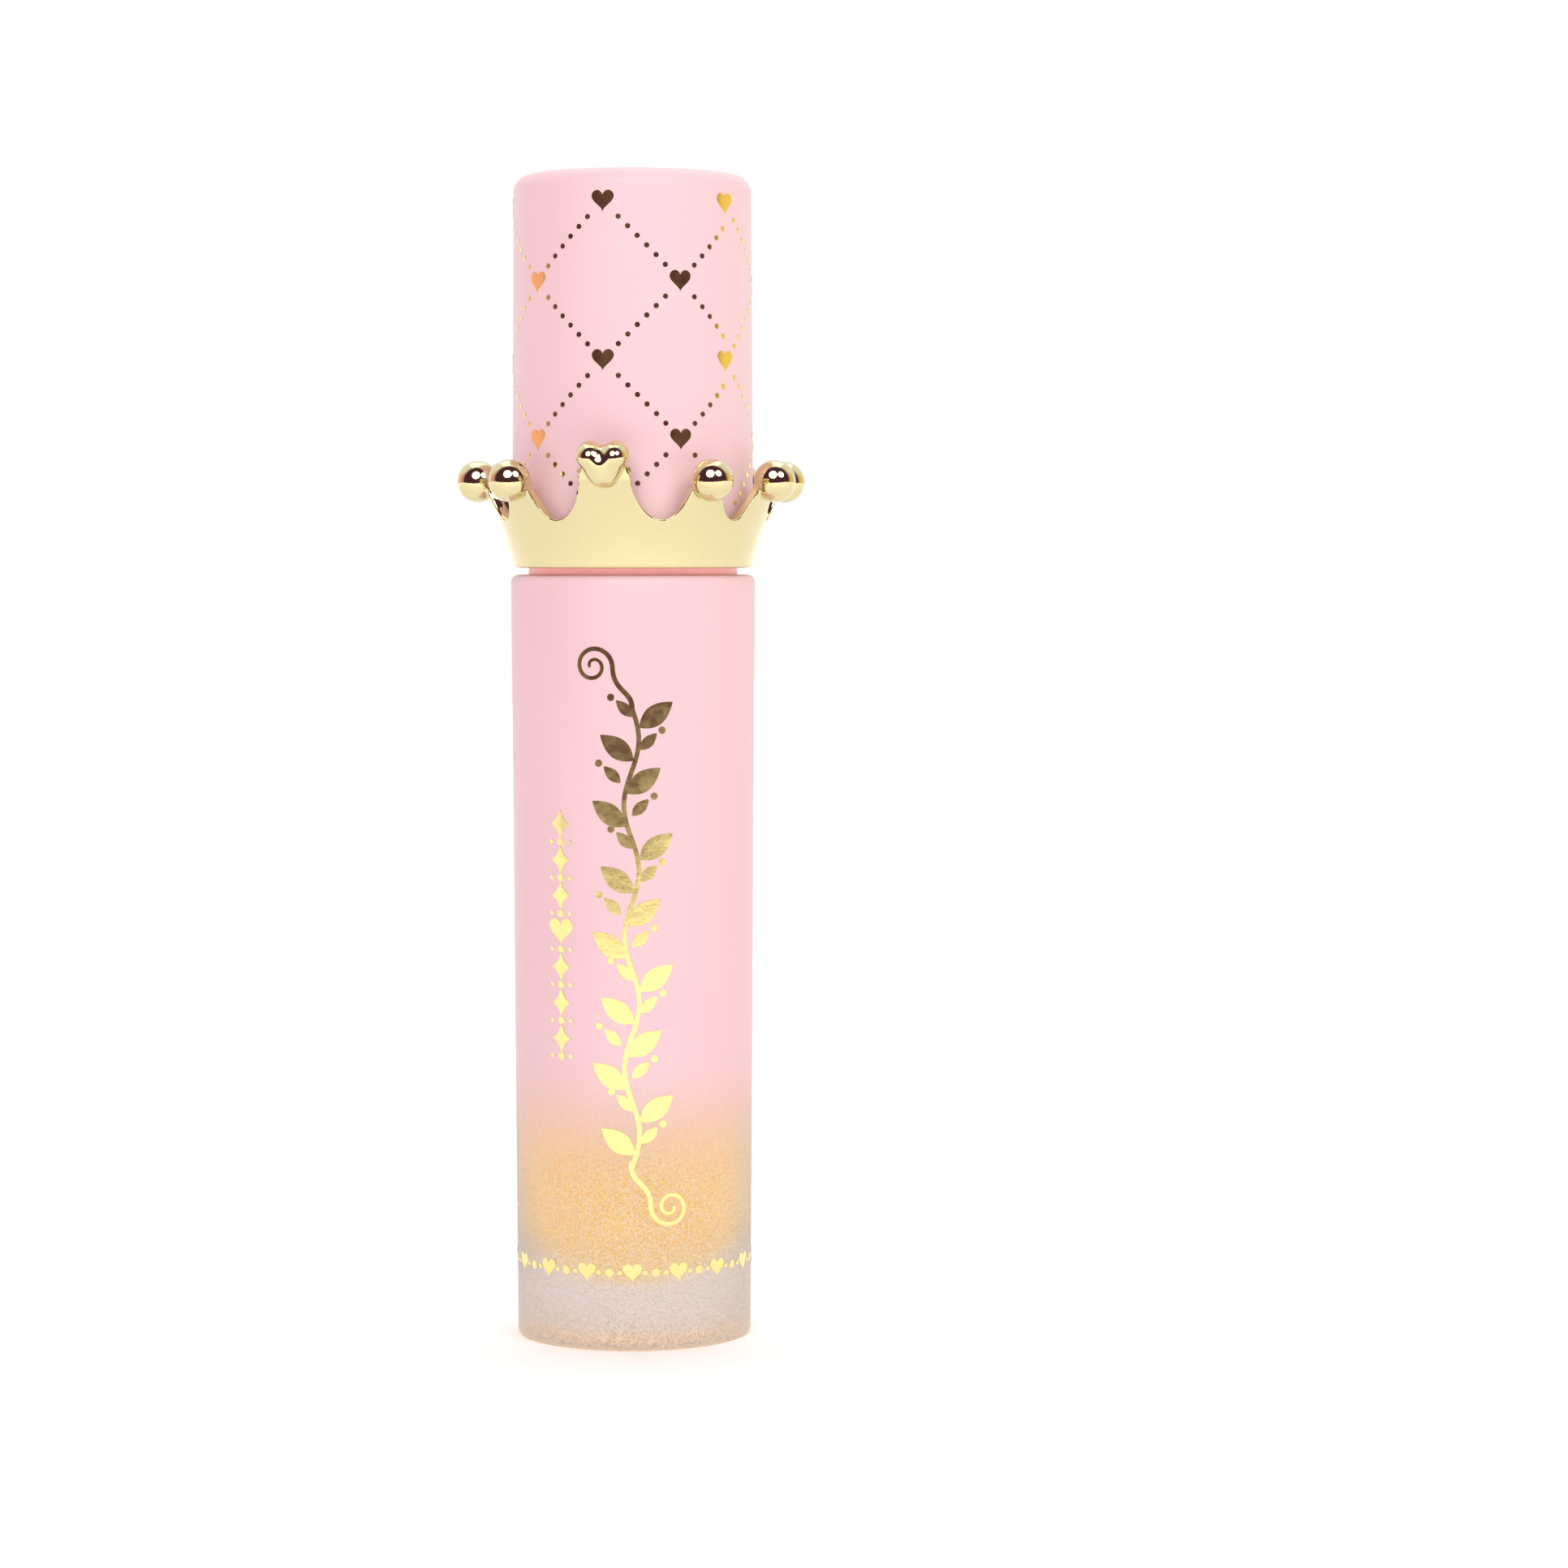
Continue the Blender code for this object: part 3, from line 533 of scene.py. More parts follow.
def soft_touch_material():
    """Matt pink soft-touch lacquer with a very fine grain."""
    m = Shading("soft_touch_pink", Sheen_Weight=0.25, Sheen_Roughness=0.4, Sheen_Tint=(*SHEEN_PINK, 1.0))
    grain = m.noise(4200, 4, 0.6)
    cloud = m.noise(55, 2)
    m.drive(
        Base_Color=m.mix(m.math("MULTIPLY", cloud, 0.5), PINK_PAINT, PINK_PAINT_DEEP),
        Roughness=m.remap(grain, 0.3, 0.7, 0.40, 0.52),
        Normal=m.bump(grain, 0.12, 0.00003),
    )
    return m.material


def gold_material():
    """Vacuum-metallised gold under clear lacquer, with faint moulding ripple."""
    m = Shading("gold_plating", Metallic=1.0, Coat_Weight=0.25, Coat_Roughness=0.05)
    ripple = m.noise(170, 2, 0.4)
    wear = m.noise(1500, 4, 0.6)
    m.drive(
        Base_Color=m.mix(wear, GOLD, GOLD_PALE),
        Roughness=m.remap(wear, 0.3, 0.8, 0.045, 0.085),
        Normal=m.bump(ripple, 0.25, 0.00008),
    )
    return m.material


def foil_material():
    """Hot-stamped gold foil, slightly uneven where it follows the lacquer under it."""
    m = Shading("gold_foil", Metallic=1.0)
    press = m.noise(1100, 4, 0.65)
    m.drive(
        Base_Color=m.mix(press, FOIL_GOLD, FOIL_GOLD_PALE),
        Roughness=m.remap(press, 0.25, 0.75, 0.10, 0.19),
        Normal=m.bump(press, 0.18, 0.00003),
    )
    return m.material


def rod_material():
    """Translucent white plastic, wet with gloss near the tip, where the film breaks up into runs."""
    m = Shading("natural_rod", Subsurface_Weight=0.35, Subsurface_Scale=0.002, IOR=1.49)
    m.drive(Subsurface_Radius=ROD_SCATTER)
    z = m.height()
    stretched = m.add("ShaderNodeMapping")
    m.feed(stretched.inputs["Vector"], m.place)
    stretched.inputs["Scale"].default_value = (1.0, 1.0, 0.18)
    runs = m.noise(420, 3, 0.5, stretched.outputs["Vector"])
    drift = m.math("MULTIPLY", m.math("SUBTRACT", runs, 0.5), -RESIDUE_RUNS)
    film_top, film_full = ROD_LOW.z + RESIDUE_LENGTH, ROD_LOW.z + RESIDUE_FULL_LENGTH
    wet = m.remap(m.math("ADD", z, drift), film_top, film_full, smooth=True)
    faint = m.noise(2600, 3)
    relief = m.math("ADD", m.math("MULTIPLY", runs, wet), m.math("MULTIPLY", faint, 0.1))
    m.drive(
        Base_Color=m.mix(m.math("MULTIPLY", wet, 0.85), ROD_WHITE, ROD_WET),
        Roughness=m.math("ADD", m.remap(wet, 0, 1, 0.32, 0.10), m.math("MULTIPLY", faint, 0.05)),
        Normal=m.bump(relief, 0.2, 0.00008),
    )
    return m.material


def flock_material():
    """Short nylon pile soaked with honey gloss: deep in the roots, pale and sparkling at the ends."""
    m = Shading("honey_flock", Sheen_Weight=0.3, Sheen_Roughness=0.5, Subsurface_Weight=0.15)
    m.drive(Subsurface_Scale=0.0006, Sheen_Tint=(*SHEEN_HONEY, 1.0))
    clump = m.noise(700, 4, 0.6)
    fine = m.noise(5200, 2)
    sparkle = m.remap(m.cells(5200).outputs["Color"], 0.80, 0.97)
    body = m.mix(m.remap(clump, 0.3, 0.7), FLOCK_DEEP, FLOCK_PALE)
    m.drive(
        Base_Color=m.mix(sparkle, body, FLOCK_SPARKLE),
        Roughness=m.remap(fine, 0.3, 0.7, 0.30, 0.62),
        Normal=m.bump(clump, 0.5, 0.0002),
    )
    return m.material


def moulded_material(name, colour, roughness, translucent=0.0, grain=2600):
    """Plain moulded plastic or foam with flow marks and a fine grain."""
    m = Shading(name, Subsurface_Weight=translucent, Subsurface_Scale=0.0015)
    flow = m.noise(120, 3, 0.5)
    fine = m.noise(grain, 4, 0.6)
    darker = tuple(0.92 * c for c in colour)
    m.drive(
        Base_Color=m.mix(flow, darker, colour),
        Roughness=m.remap(fine, 0.3, 0.7, roughness - 0.06, roughness + 0.06),
        Normal=m.bump(fine, 0.15, 0.00004),
    )
    return m.material


# ---------------------------------------------------------------- bottle and gloss


def bead(radius, height, centre_z, half_width, direction):
    """Four points (r, z) of a ring that stands height proud of a wall, upwards (1) or downwards (-1)."""
    steps = ((0, -1.0), (height, -0.4), (height, 0.4), (0, 1.0))
    return [(radius + rise, centre_z + direction * share * half_width) for rise, share in steps]


def cavity_outline(grow, top_z, steps):
    """Wall points (r, z) of the bottle's cavity from the axis upwards, grown outwards and cut at top_z."""
    radius = CAVITY_RADIUS + grow
    bowl_z = CAVITY_FLOOR_Z + CAVITY_BOWL_DEPTH
    wall = arc(0.0, bowl_z, radius, CAVITY_BOWL_DEPTH + grow, -90, 0, steps)[1:]
    taper_z = CAVITY_TAPER_TOP_Z - CAVITY_TAPER_LENGTH
    slope = (CAVITY_RADIUS - NECK_BORE_RADIUS) / CAVITY_TAPER_LENGTH
    end_z = min(top_z, CAVITY_TAPER_TOP_Z)
    return [
        (0.0, CAVITY_FLOOR_Z - grow),
        *wall,
        (radius, taper_z),
        (radius - slope * (end_z - taper_z), end_z),
    ]


def thread_ridge(name, root_radius, crest_radius, start_z, material):
    """Helical ridge with rounded flanks that fades in and out."""
    steps_per_turn, profile_steps = 64, 8
    steps = round(THREAD_TURNS * steps_per_turn)
    turn = 2 * math.pi * THREAD_TURNS
    points, faces = [], []
    for i in range(steps + 1):
        a = turn * i / steps
        z = start_z + THREAD_PITCH * a / (2 * math.pi)
        fade = max(THREAD_END_FADE, min(1.0, a / THREAD_LEAD_IN, (turn - a) / THREAD_LEAD_IN))
        for n in range(profile_steps):
            share = n / (profile_steps - 1)
            bulge = max(0.0, math.sin(math.pi * share)) ** THREAD_FULLNESS
            r = root_radius + bulge * (crest_radius - root_radius) * fade
            points.append((r * math.cos(a), r * math.sin(a), z + (share - 0.5) * THREAD_ROOT_WIDTH))
    for i in range(steps):
        for j in range(profile_steps):
            k = (j + 1) % profile_steps
            low, high = i * profile_steps, (i + 1) * profile_steps
            faces.append((low + j, high + j, high + k, low + k))
    faces.append(tuple(range(profile_steps)))
    faces.append(tuple(steps * profile_steps + j for j in reversed(range(profile_steps))))
    ridge = mesh_object(name, points, faces, material)
    mesh = bmesh.new()
    mesh.from_mesh(ridge.data)
    bmesh.ops.recalc_face_normals(mesh, faces=mesh.faces)
    mesh.to_mesh(ridge.data)
    mesh.free()
    return ridge


def join(obj, other):
    """Joins other's solid to obj's, and removes other."""
    modifier = obj.modifiers.new("union", "BOOLEAN")
    modifier.operation = "UNION"
    modifier.object = other
    mesh = applied(obj)
    obj.modifiers.clear()
    obj.data = mesh
    mesh.shade_smooth()
    mesh.set_sharp_from_angle(angle=math.radians(SHARP_ANGLE))
    bpy.data.objects.remove(other)


def make_bottle(material):
    base, top, edge = BASE_FILLET, SHOULDER_FILLET, EDGE_ROUND
    gate_z = BASE_RECESS_DEPTH - GATE_HEIGHT
    half_recess = BASE_RECESS_DEPTH / 2
    outline = [
        (0.0, gate_z),
        (GATE_RADIUS / 2, gate_z),
        (GATE_RADIUS, BASE_RECESS_DEPTH),
        *arc(BASE_RECESS_RADIUS, half_recess, edge, half_recess, 90, -90, 8),
        *arc(BODY_BASE_RADIUS - base, base, base, base, -90, 0, 8),
        *arc(BODY_TOP_RADIUS - top, SHOULDER_Z - top, top, top, 0, 90, 8),
        (COLLAR_RADIUS, SHOULDER_Z),
        *arc(COLLAR_RADIUS - edge, COLLAR_TOP_Z - edge, edge, edge, 0, 90, 4),
        (NECK_RADIUS, COLLAR_TOP_Z),
        *arc(NECK_RADIUS - edge, NECK_TOP_Z - edge, edge, edge, 0, 90, 4),
        (NECK_BORE_RADIUS, NECK_TOP_Z),
        *bead(NECK_BORE_RADIUS, WIPER_GROOVE_DEPTH, WIPER_GROOVE_Z, WIPER_GROOVE_HALF_WIDTH, -1),
        *reversed(cavity_outline(0.0, NECK_TOP_Z, CAVITY_STEPS)),
    ]
    bottle = turned("bottle_body", outline, material)
    root, crest = NECK_RADIUS - THREAD_EMBED, NECK_RADIUS + THREAD_DEPTH
    join(bottle, thread_ridge("neck_thread", root, crest, THREAD_START_Z, material))
    finish_piece(bottle, "bottle", "frosted_bottle", "bottle")


def make_gloss(material):
    fillet = GLOSS_BORE_FILLET
    bore, bore_floor = GLOSS_BORE_RADIUS, GLOSS_BORE_FLOOR_Z
    outline = [
        *cavity_outline(GLOSS_WETTING, GLOSS_HIGH.z, CAVITY_STEPS),
        (bore, GLOSS_HIGH.z),
        (bore, bore_floor + fillet),
        *arc(bore - fillet, bore_floor + fillet, fillet, fillet, 0, -90, 6)[1:],
        (0.0, bore_floor),
    ]
    gloss = turned("gloss_fill", outline, material)
    finish_piece(gloss, "bottle", "gloss_liquid", "gloss")


# ---------------------------------------------------------------- cap


def shell_radius(z):
    """Outer radius of the cap's shell at height z, its rounded top edge included."""
    edge_z = CAP_TOP_Z - CAP_TOP_FILLET
    if z <= edge_z:
        share = (z - CAP_FOOT_Z - SPIGOT_END) / (edge_z - CAP_FOOT_Z - SPIGOT_END)
        return CAP_FOOT_RADIUS + (CAP_TOP_RADIUS - CAP_FOOT_RADIUS) * max(0.0, share)
    rise = min(1.0, (z - edge_z) / CAP_TOP_FILLET)
    return CAP_TOP_RADIUS - CAP_TOP_FILLET * (1 - math.sqrt(1 - rise * rise))


def body_radius(z):
    """Outer radius of the bottle's body at height z."""
    share = (z - BASE_FILLET) / (SHOULDER_Z - SHOULDER_FILLET - BASE_FILLET)
    return BODY_BASE_RADIUS + (BODY_TOP_RADIUS - BODY_BASE_RADIUS) * share


def make_cap_shell(material):
    fillet = CAP_TOP_FILLET
    foot = CAP_FOOT_Z
    ceiling_z = CAP_TOP_Z - CAP_TOP_THICKNESS
    bore, inner_fillet = CAP_BORE_RADIUS, CAP_CEILING_FILLET
    outline = [
        (0.0, ceiling_z),
        *arc(bore - inner_fillet, ceiling_z - inner_fillet, inner_fillet, inner_fillet, 90, 0, 6),
        (bore, foot + SPIGOT_START),
        (SPIGOT_RADIUS, foot + SPIGOT_START),
        (SPIGOT_RADIUS, foot + SPIGOT_END),
        (CAP_FOOT_RADIUS, foot + SPIGOT_END),
        *arc(CAP_TOP_RADIUS - fillet, CAP_TOP_Z - fillet, fillet, fillet, 0, 90, 14),
        (0.0, CAP_TOP_Z),
    ]
    shell = turned("cap_overshell", outline, material)
    finish_piece(shell, "cap", "soft_touch_shell", "cap_shell")


# ---------------------------------------------------------------- crown


def crown_radius(height):
    """Outer radius of the flared crown at a height above its rim; the flare stops growing at the balls."""
    flare = CROWN_FLARE_SLOPE * height
    return CROWN_RIM_RADIUS + flare + CROWN_FLARE_CURVE * np.minimum(height, BALL_HEIGHT) ** 2


def nearest_tooth(angle):
    """For angles from the heart: (angle from the nearest tooth's middle, True where that is the heart)."""
    around = np.abs((angle + np.pi) % (2 * np.pi) - np.pi)
    heart = around < (HEART_TOOTH_ANGLE - BALL_PITCH) / 2
    number = np.clip(np.round((around - HEART_TOOTH_ANGLE / 2) / BALL_PITCH), 0, BALL_COUNT // 2)
    return np.where(heart, around, np.abs(around - HEART_TOOTH_ANGLE / 2 - BALL_PITCH * number)), heart


def crown_edge(angle):
    """Height of the crown's upper edge above its rim: round teeth between valleys that are U-shaped."""
    off, heart = nearest_tooth(angle)
    half = np.where(heart, (HEART_TOOTH_ANGLE - BALL_PITCH) / 2, BALL_PITCH / 2)
    top = np.where(heart, HEART_TOOTH_TOP, BALL_HEIGHT + TOOTH_ROUND_HEIGHT)
    valley_half = np.where(heart, HEART_VALLEY_HALF_ANGLE, VALLEY_HALF_ANGLE)
    flank = half - valley_half
    share = np.clip((half - off) / valley_half, 0, 1)
    valley = VALLEY_HEIGHT + (BALL_HEIGHT - VALLEY_HEIGHT) * (1 - (1 - share**2) ** VALLEY_POWER)
    dome = BALL_HEIGHT + (top - BALL_HEIGHT) * np.sqrt(np.clip(1 - (off / flank) ** 2, 0, 1))
    return np.where(off > flank, valley, dome)


def rounded_corner(a, b, radius):
    """Distance to where both a and b are below 0, with that corner rounded off."""
    a, b = a + radius, b + radius
    outside = np.hypot(np.maximum(a, 0), np.maximum(b, 0))
    return outside + np.minimum(np.maximum(a, b), 0) - radius


def smooth_union(a, b, blend):
    h = np.clip(0.5 + 0.5 * (b - a) / blend, 0, 1)
    return b + (a - b) * h - blend * h * (1 - h)


def round_cone(side, deep, up, lobe_side):
    """Distance to one half of the heart: a cone with round ends, from its lobe down to the tip."""
    x, z = side - lobe_side, up - HEART_LOBE_HEIGHT
    run, fall = -lobe_side, HEART_TIP_HEIGHT - HEART_LOBE_HEIGHT
    length = math.hypot(run, fall)
    along = (x * run + z * fall) / length
    off = np.sqrt(np.maximum(x**2 + z**2 - along**2, 0) + deep**2)
    sine = (HEART_LOBE_RADIUS - HEART_TIP_RADIUS) / length
    cosine = math.sqrt(1 - sine * sine)
    slant = along * cosine - off * sine
    flank = off * cosine + along * sine - HEART_LOBE_RADIUS
    tip = np.hypot(off, along - length) - HEART_TIP_RADIUS
    lobe = np.hypot(off, along) - HEART_LOBE_RADIUS
    return np.where(slant < 0, lobe, np.where(slant > length * cosine, tip, flank))


def heart_distance(side, deep, up):
    """About the distance to a puffed heart at the origin that leans outwards: two lobes run together."""
    cosine, sine = math.cos(HEART_LEAN), math.sin(HEART_LEAN)
    deep, up = deep * cosine - up * sine, up * cosine + deep * sine
    fall = np.clip((HEART_LOBE_HEIGHT - up) / (HEART_LOBE_HEIGHT - HEART_TIP_HEIGHT), 0, 1)
    fall = fall * fall * (3 - 2 * fall)
    deep = deep * 2 * HEART_LOBE_RADIUS / HEART_DEPTH * (1 + HEART_TIP_THINNING * fall)
    halves = (round_cone(side, deep, up, lobe) for lobe in (HEART_LOBE_SIDE, -HEART_LOBE_SIDE))
    return smooth_union(*halves, HEART_BLEND)


def crown_distance(p):
    """About the distance from points p, an (n, 3) array, to the crown's flared wall and foot ring."""
    radius = np.hypot(p[:, 0], p[:, 1])
    angle, height = np.arctan2(p[:, 1], p[:, 0]) - FRONT, p[:, 2] - CAP_FOOT_Z
    lean = np.hypot(1, CROWN_FLARE_SLOPE + 2 * CROWN_FLARE_CURVE * np.clip(height, 0, BALL_HEIGHT))
    outward = (radius - crown_radius(np.maximum(height, 0))) / lean
    step = 1e-3
    tilt = (crown_edge(angle + step) - crown_edge(angle - step)) / (2 * step) / radius
    above = (height - crown_edge(angle)) / np.hypot(1, tilt)
    wall = rounded_corner(np.abs(outward + CROWN_WALL / 2) - CROWN_WALL / 2, above, CROWN_EDGE_ROUND)
    ring = np.maximum(np.maximum(outward, SPIGOT_RADIUS - radius), height - SPIGOT_END)
    lip = np.maximum(np.maximum(outward, CROWN_MOUTH_RADIUS - radius), height - SPIGOT_START)
    return rounded_corner(np.minimum(wall, np.minimum(ring, lip)), -height, CROWN_FOOT_ROUND)


def tooth_ends(p):
    """About the distance to the balls and the heart on the teeth."""
    angle = np.arctan2(p[:, 1], p[:, 0]) - FRONT
    off, heart = nearest_tooth(angle)
    radius, height = np.hypot(p[:, 0], p[:, 1]), p[:, 2] - CAP_FOOT_Z
    side, out = radius * np.sin(off), radius * np.cos(off)
    ball = np.sqrt(side**2 + (out - BALL_RING_RADIUS) ** 2 + (height - BALL_HEIGHT) ** 2) - BALL_RADIUS
    puff = heart_distance(side, out - HEART_RING_RADIUS, height - HEART_HEIGHT_ON_CROWN)
    return np.where(heart, puff, ball)


def crown_field(p):
    return smooth_union(crown_distance(p), tooth_ends(p), TOOTH_END_BLEND)


def gradient(field, p):
    step = 4e-6
    shifts = np.eye(3) * step
    return np.stack([(field(p + s) - field(p - s)) / (2 * step) for s in shifts], axis=1)


def make_crown(material):
    """The crown as one smooth surface: the CAD solid remeshed finely, then drawn onto its exact shape."""
    source = remeshed_copy("crown", CROWN_VOXEL)
    mesh = applied(source)
    bpy.data.objects.remove(source)
    p = np.zeros(len(mesh.vertices) * 3, np.float32)
    mesh.vertices.foreach_get("co", p)
    p = p.reshape(-1, 3).astype(float)
    for _ in range(CROWN_DRAW_PASSES):
        slope = gradient(crown_field, p)
        steep = np.maximum((slope**2).sum(1, keepdims=True), 0.2)
        move = crown_field(p)[:, None] * slope / steep
        length = np.linalg.norm(move, axis=1, keepdims=True)
        p -= move * np.minimum(1, CROWN_DRAW_STEP / np.maximum(length, 1e-9))
    mesh.vertices.foreach_set("co", p.astype(np.float32).ravel())
    mesh.materials.clear()
    mesh.materials.append(material)
    mesh.shade_smooth()
    mesh.update()
    crown = bpy.data.objects.new("gold_crown", mesh)
    bpy.context.scene.collection.objects.link(crown)
    finish_piece(crown, "cap", "gold_plated_plastic", "crown")


# ---------------------------------------------------------------- foil ornament


class Foil:
    """Thin foil shapes laid on a surface of revolution, gathered into one mesh."""

    def __init__(self, surface_radius):
        self.surface_radius = surface_radius
        self.points, self.faces, self.normals = [], [], []

    def place(self, angle, z, lift):
        r = self.surface_radius(z) + lift
        a = FRONT + angle
        self.points.append((r * math.cos(a), r * math.sin(a), z))
        self.normals.append((math.cos(a), math.sin(a), 0.0))
        return len(self.points) - 1

    def loft(self, rings):
        """A closed thin shape: rings of (angle, z) from the middle out, the first one filled."""
        tops = [[self.place(a, z, FOIL_LIFT) for a, z in ring] for ring in rings]
        under = [self.place(a, z, -FOIL_LIFT) for a, z in rings[-1]]
        count = len(under)
        self.faces.append(tuple(tops[0]))
        for inner, outer in [*zip(tops, tops[1:]), (tops[-1], under)]:
            for j in range(count):
                k = (j + 1) % count
                self.faces.append((inner[j], outer[j], outer[k], inner[k]))
        self.faces.append(tuple(reversed(under)))

    def blob(self, angle, z, outline, turn=0.0):
        """A filled shape: outline is a list of (x, y) round its middle, anticlockwise, in metres."""
        r = self.surface_radius(z)
        c, s = math.cos(turn), math.sin(turn)
        rings = [
            [(angle + share * (x * c - y * s) / r, z + share * (x * s + y * c)) for x, y in outline]
            for share in (0.3, 0.65, 1.0)
        ]
        self.loft(rings)

    def stroke(self, path, widths, angle):
        """A line along path, a list of (x, z) with x along the surface; widths are at its two ends."""
        first_width, last_width = widths
        count = len(path)
        left, right = [], []
        for i, (x, z) in enumerate(path):
            x0, z0 = path[max(i - 1, 0)]
            x1, z1 = path[min(i + 1, count - 1)]
            length = math.hypot(x1 - x0, z1 - z0) or 1.0
            half = (first_width + (last_width - first_width) * i / (count - 1)) / 2
            nx, nz = -(z1 - z0) / length * half, (x1 - x0) / length * half
            left.append((x + nx, z + nz))
            right.append((x - nx, z - nz))
        edges = ((left, FOIL_LIFT), (right, FOIL_LIFT), (right, -FOIL_LIFT), (left, -FOIL_LIFT))
        rows = [
            [self.place(angle + x / self.surface_radius(z), z, lift) for x, z in side]
            for side, lift in edges
        ]
        for a, b in zip(rows, rows[1:] + rows[:1]):
            for i in range(count - 1):
                self.faces.append((a[i], b[i], b[i + 1], a[i + 1]))
        self.faces.append(tuple(row[0] for row in reversed(rows)))
        self.faces.append(tuple(row[-1] for row in rows))

    def make(self, name, material):
        obj = mesh_object(name, self.points, self.faces, material, None)
        obj.data.normals_split_custom_set_from_vertices(self.normals)
        return obj


def circle(radius, steps=14):
    angles = [2 * math.pi * i / steps for i in range(steps)]
    return [(radius * math.cos(a), radius * math.sin(a)) for a in angles]


def foil_heart(width, tall, steps=28):
    outline = []
    for i in range(steps):
        t = -2 * math.pi * i / steps
        x = 16 * math.sin(t) ** 3
        y = 13 * math.cos(t) - 5 * math.cos(2 * t) - 2 * math.cos(3 * t) - math.cos(4 * t)
        outline.append((x * width / 32, (y + 2.5) * tall / 29))
    return outline


def leaf(length, width, steps=14):
    """Pointed leaf from its stalk at the origin along +Y."""
    side = [(width / 2 * math.sin(math.pi * s) ** 0.85 * (1.15 - 0.3 * s), length * (s - 0.5))
            for s in (i / steps for i in range(1, steps))]
    return [(0.0, -length / 2), *side, (0.0, length / 2), *((-x, y) for x, y in reversed(side))]


def lozenge(width, tall, steps=5):
    corners = [(width / 2, 0.0), (0.0, tall / 2), (-width / 2, 0.0), (0.0, -tall / 2)]
    outline = []
    for (x0, y0), (x1, y1) in zip(corners, corners[1:] + corners[:1]):
        for i in range(steps):
            s = i / steps
            pull = 1 - 0.22 * math.sin(math.pi * s)
            outline.append(((x0 + (x1 - x0) * s) * pull, (y0 + (y1 - y0) * s) * pull))
    return outline


def make_cap_foil(material):
    """Diamond lattice of hearts joined by dotted lines; the print's two ends meet at a seam."""
    foil = Foil(shell_radius)
    heart = foil_heart(FOIL_HEART_WIDTH, FOIL_HEART_TALL)
    dot = circle(FOIL_DOT_RADIUS)
    for column in range(LATTICE_COLUMNS):
        angle = LATTICE_FIRST_ANGLE + LATTICE_PITCH * column
        start = LATTICE_TOP_Z + (LATTICE_ROW / 2 if column % 2 else 0)
        dots = LATTICE_DOTS - (column == LATTICE_COLUMNS - 1)
        for row in range(LATTICE_ROWS):
            z = start - LATTICE_ROW * row
            if LATTICE_LOW_Z < z < CAP_TOP_Z:
                foil.blob(angle, z, heart)
            for way in (-1, 1):
                for n in range(dots):
                    share = LATTICE_DOTS_START + LATTICE_DOTS_SPAN * n / (LATTICE_DOTS - 1)
                    dot_z = z + way * LATTICE_ROW / 2 * share
                    if LATTICE_LOW_Z < dot_z < LATTICE_TOP_Z:
                        foil.blob(angle + LATTICE_PITCH * share, dot_z, dot)
    finish_piece(foil.make("cap_foil", material), "cap", "gold_plated_plastic")


def vine_path(z):
    """Sideways place of the vine's stem at height z."""
    return VINE_WAVE * math.sin(2 * math.pi * (z - VINE_LOW_Z) / VINE_WAVELENGTH)


def tendril(steps=24):
    """A line that leaves the vine's top and winds into a spiral to its left."""
    centre_x, centre_z = TENDRIL_CENTRE
    size = TENDRIL_SIZE
    start_x = vine_path(VINE_HIGH_Z)
    pull_x, pull_z = TENDRIL_START_PULL
    corners = (
        (start_x, VINE_HIGH_Z - TENDRIL_OVERLAP),
        (start_x + pull_x, VINE_HIGH_Z + pull_z),
        (centre_x + size, centre_z - TENDRIL_END_PULL),
        (centre_x + size, centre_z),
    )
    path = []
    for i in range(steps):
        s = i / steps
        weights = ((1 - s) ** 3, 3 * s * (1 - s) ** 2, 3 * s * s * (1 - s), s**3)
        path.append(tuple(sum(w * c[axis] for w, c in zip(weights, corners)) for axis in (0, 1)))
    for i in range(3 * steps + 1):
        s = i / (3 * steps)
        a, r = 2 * math.pi * TENDRIL_TURNS * s, size * (1 - TENDRIL_WIND_IN * s)
        path.append((centre_x + r * math.cos(a), centre_z + r * math.sin(a)))
    return path


def lay_vine(foil):
    """A waving stem with leaves and berries on both sides, and a tendril at each end."""
    low, high = VINE_LOW_Z, VINE_HIGH_Z
    heights = [low + (high - low) * i / VINE_STEPS for i in range(VINE_STEPS + 1)]
    foil.stroke([(vine_path(z), z) for z in heights], (VINE_STEM_WIDTH, VINE_STEM_WIDTH), VINE_ANGLE)
    sprigs = (
        (leaf(*BIG_LEAF), BIG_LEAF_PLACE),
        (leaf(*SMALL_LEAF), SMALL_LEAF_PLACE),
        (circle(BERRY_RADIUS), BERRY_PLACE),
    )
    pitch = (high - low) / VINE_LEAVES
    for n in range(VINE_LEAVES):
        z = low + pitch * (n + VINE_LEAF_PHASE)
        side = 1 if n % 2 else -1
        for outline, (beside, rise, lean) in sprigs:
            angle = VINE_ANGLE + (vine_path(z) + side * beside) / body_radius(z)
            foil.blob(angle, z + rise, outline, -side * lean)
    curl = tendril()
    foil.stroke(curl, TENDRIL_WIDTHS, VINE_ANGLE)
    foil.stroke([(-x, low + high - z) for x, z in curl], TENDRIL_WIDTHS, VINE_ANGLE)


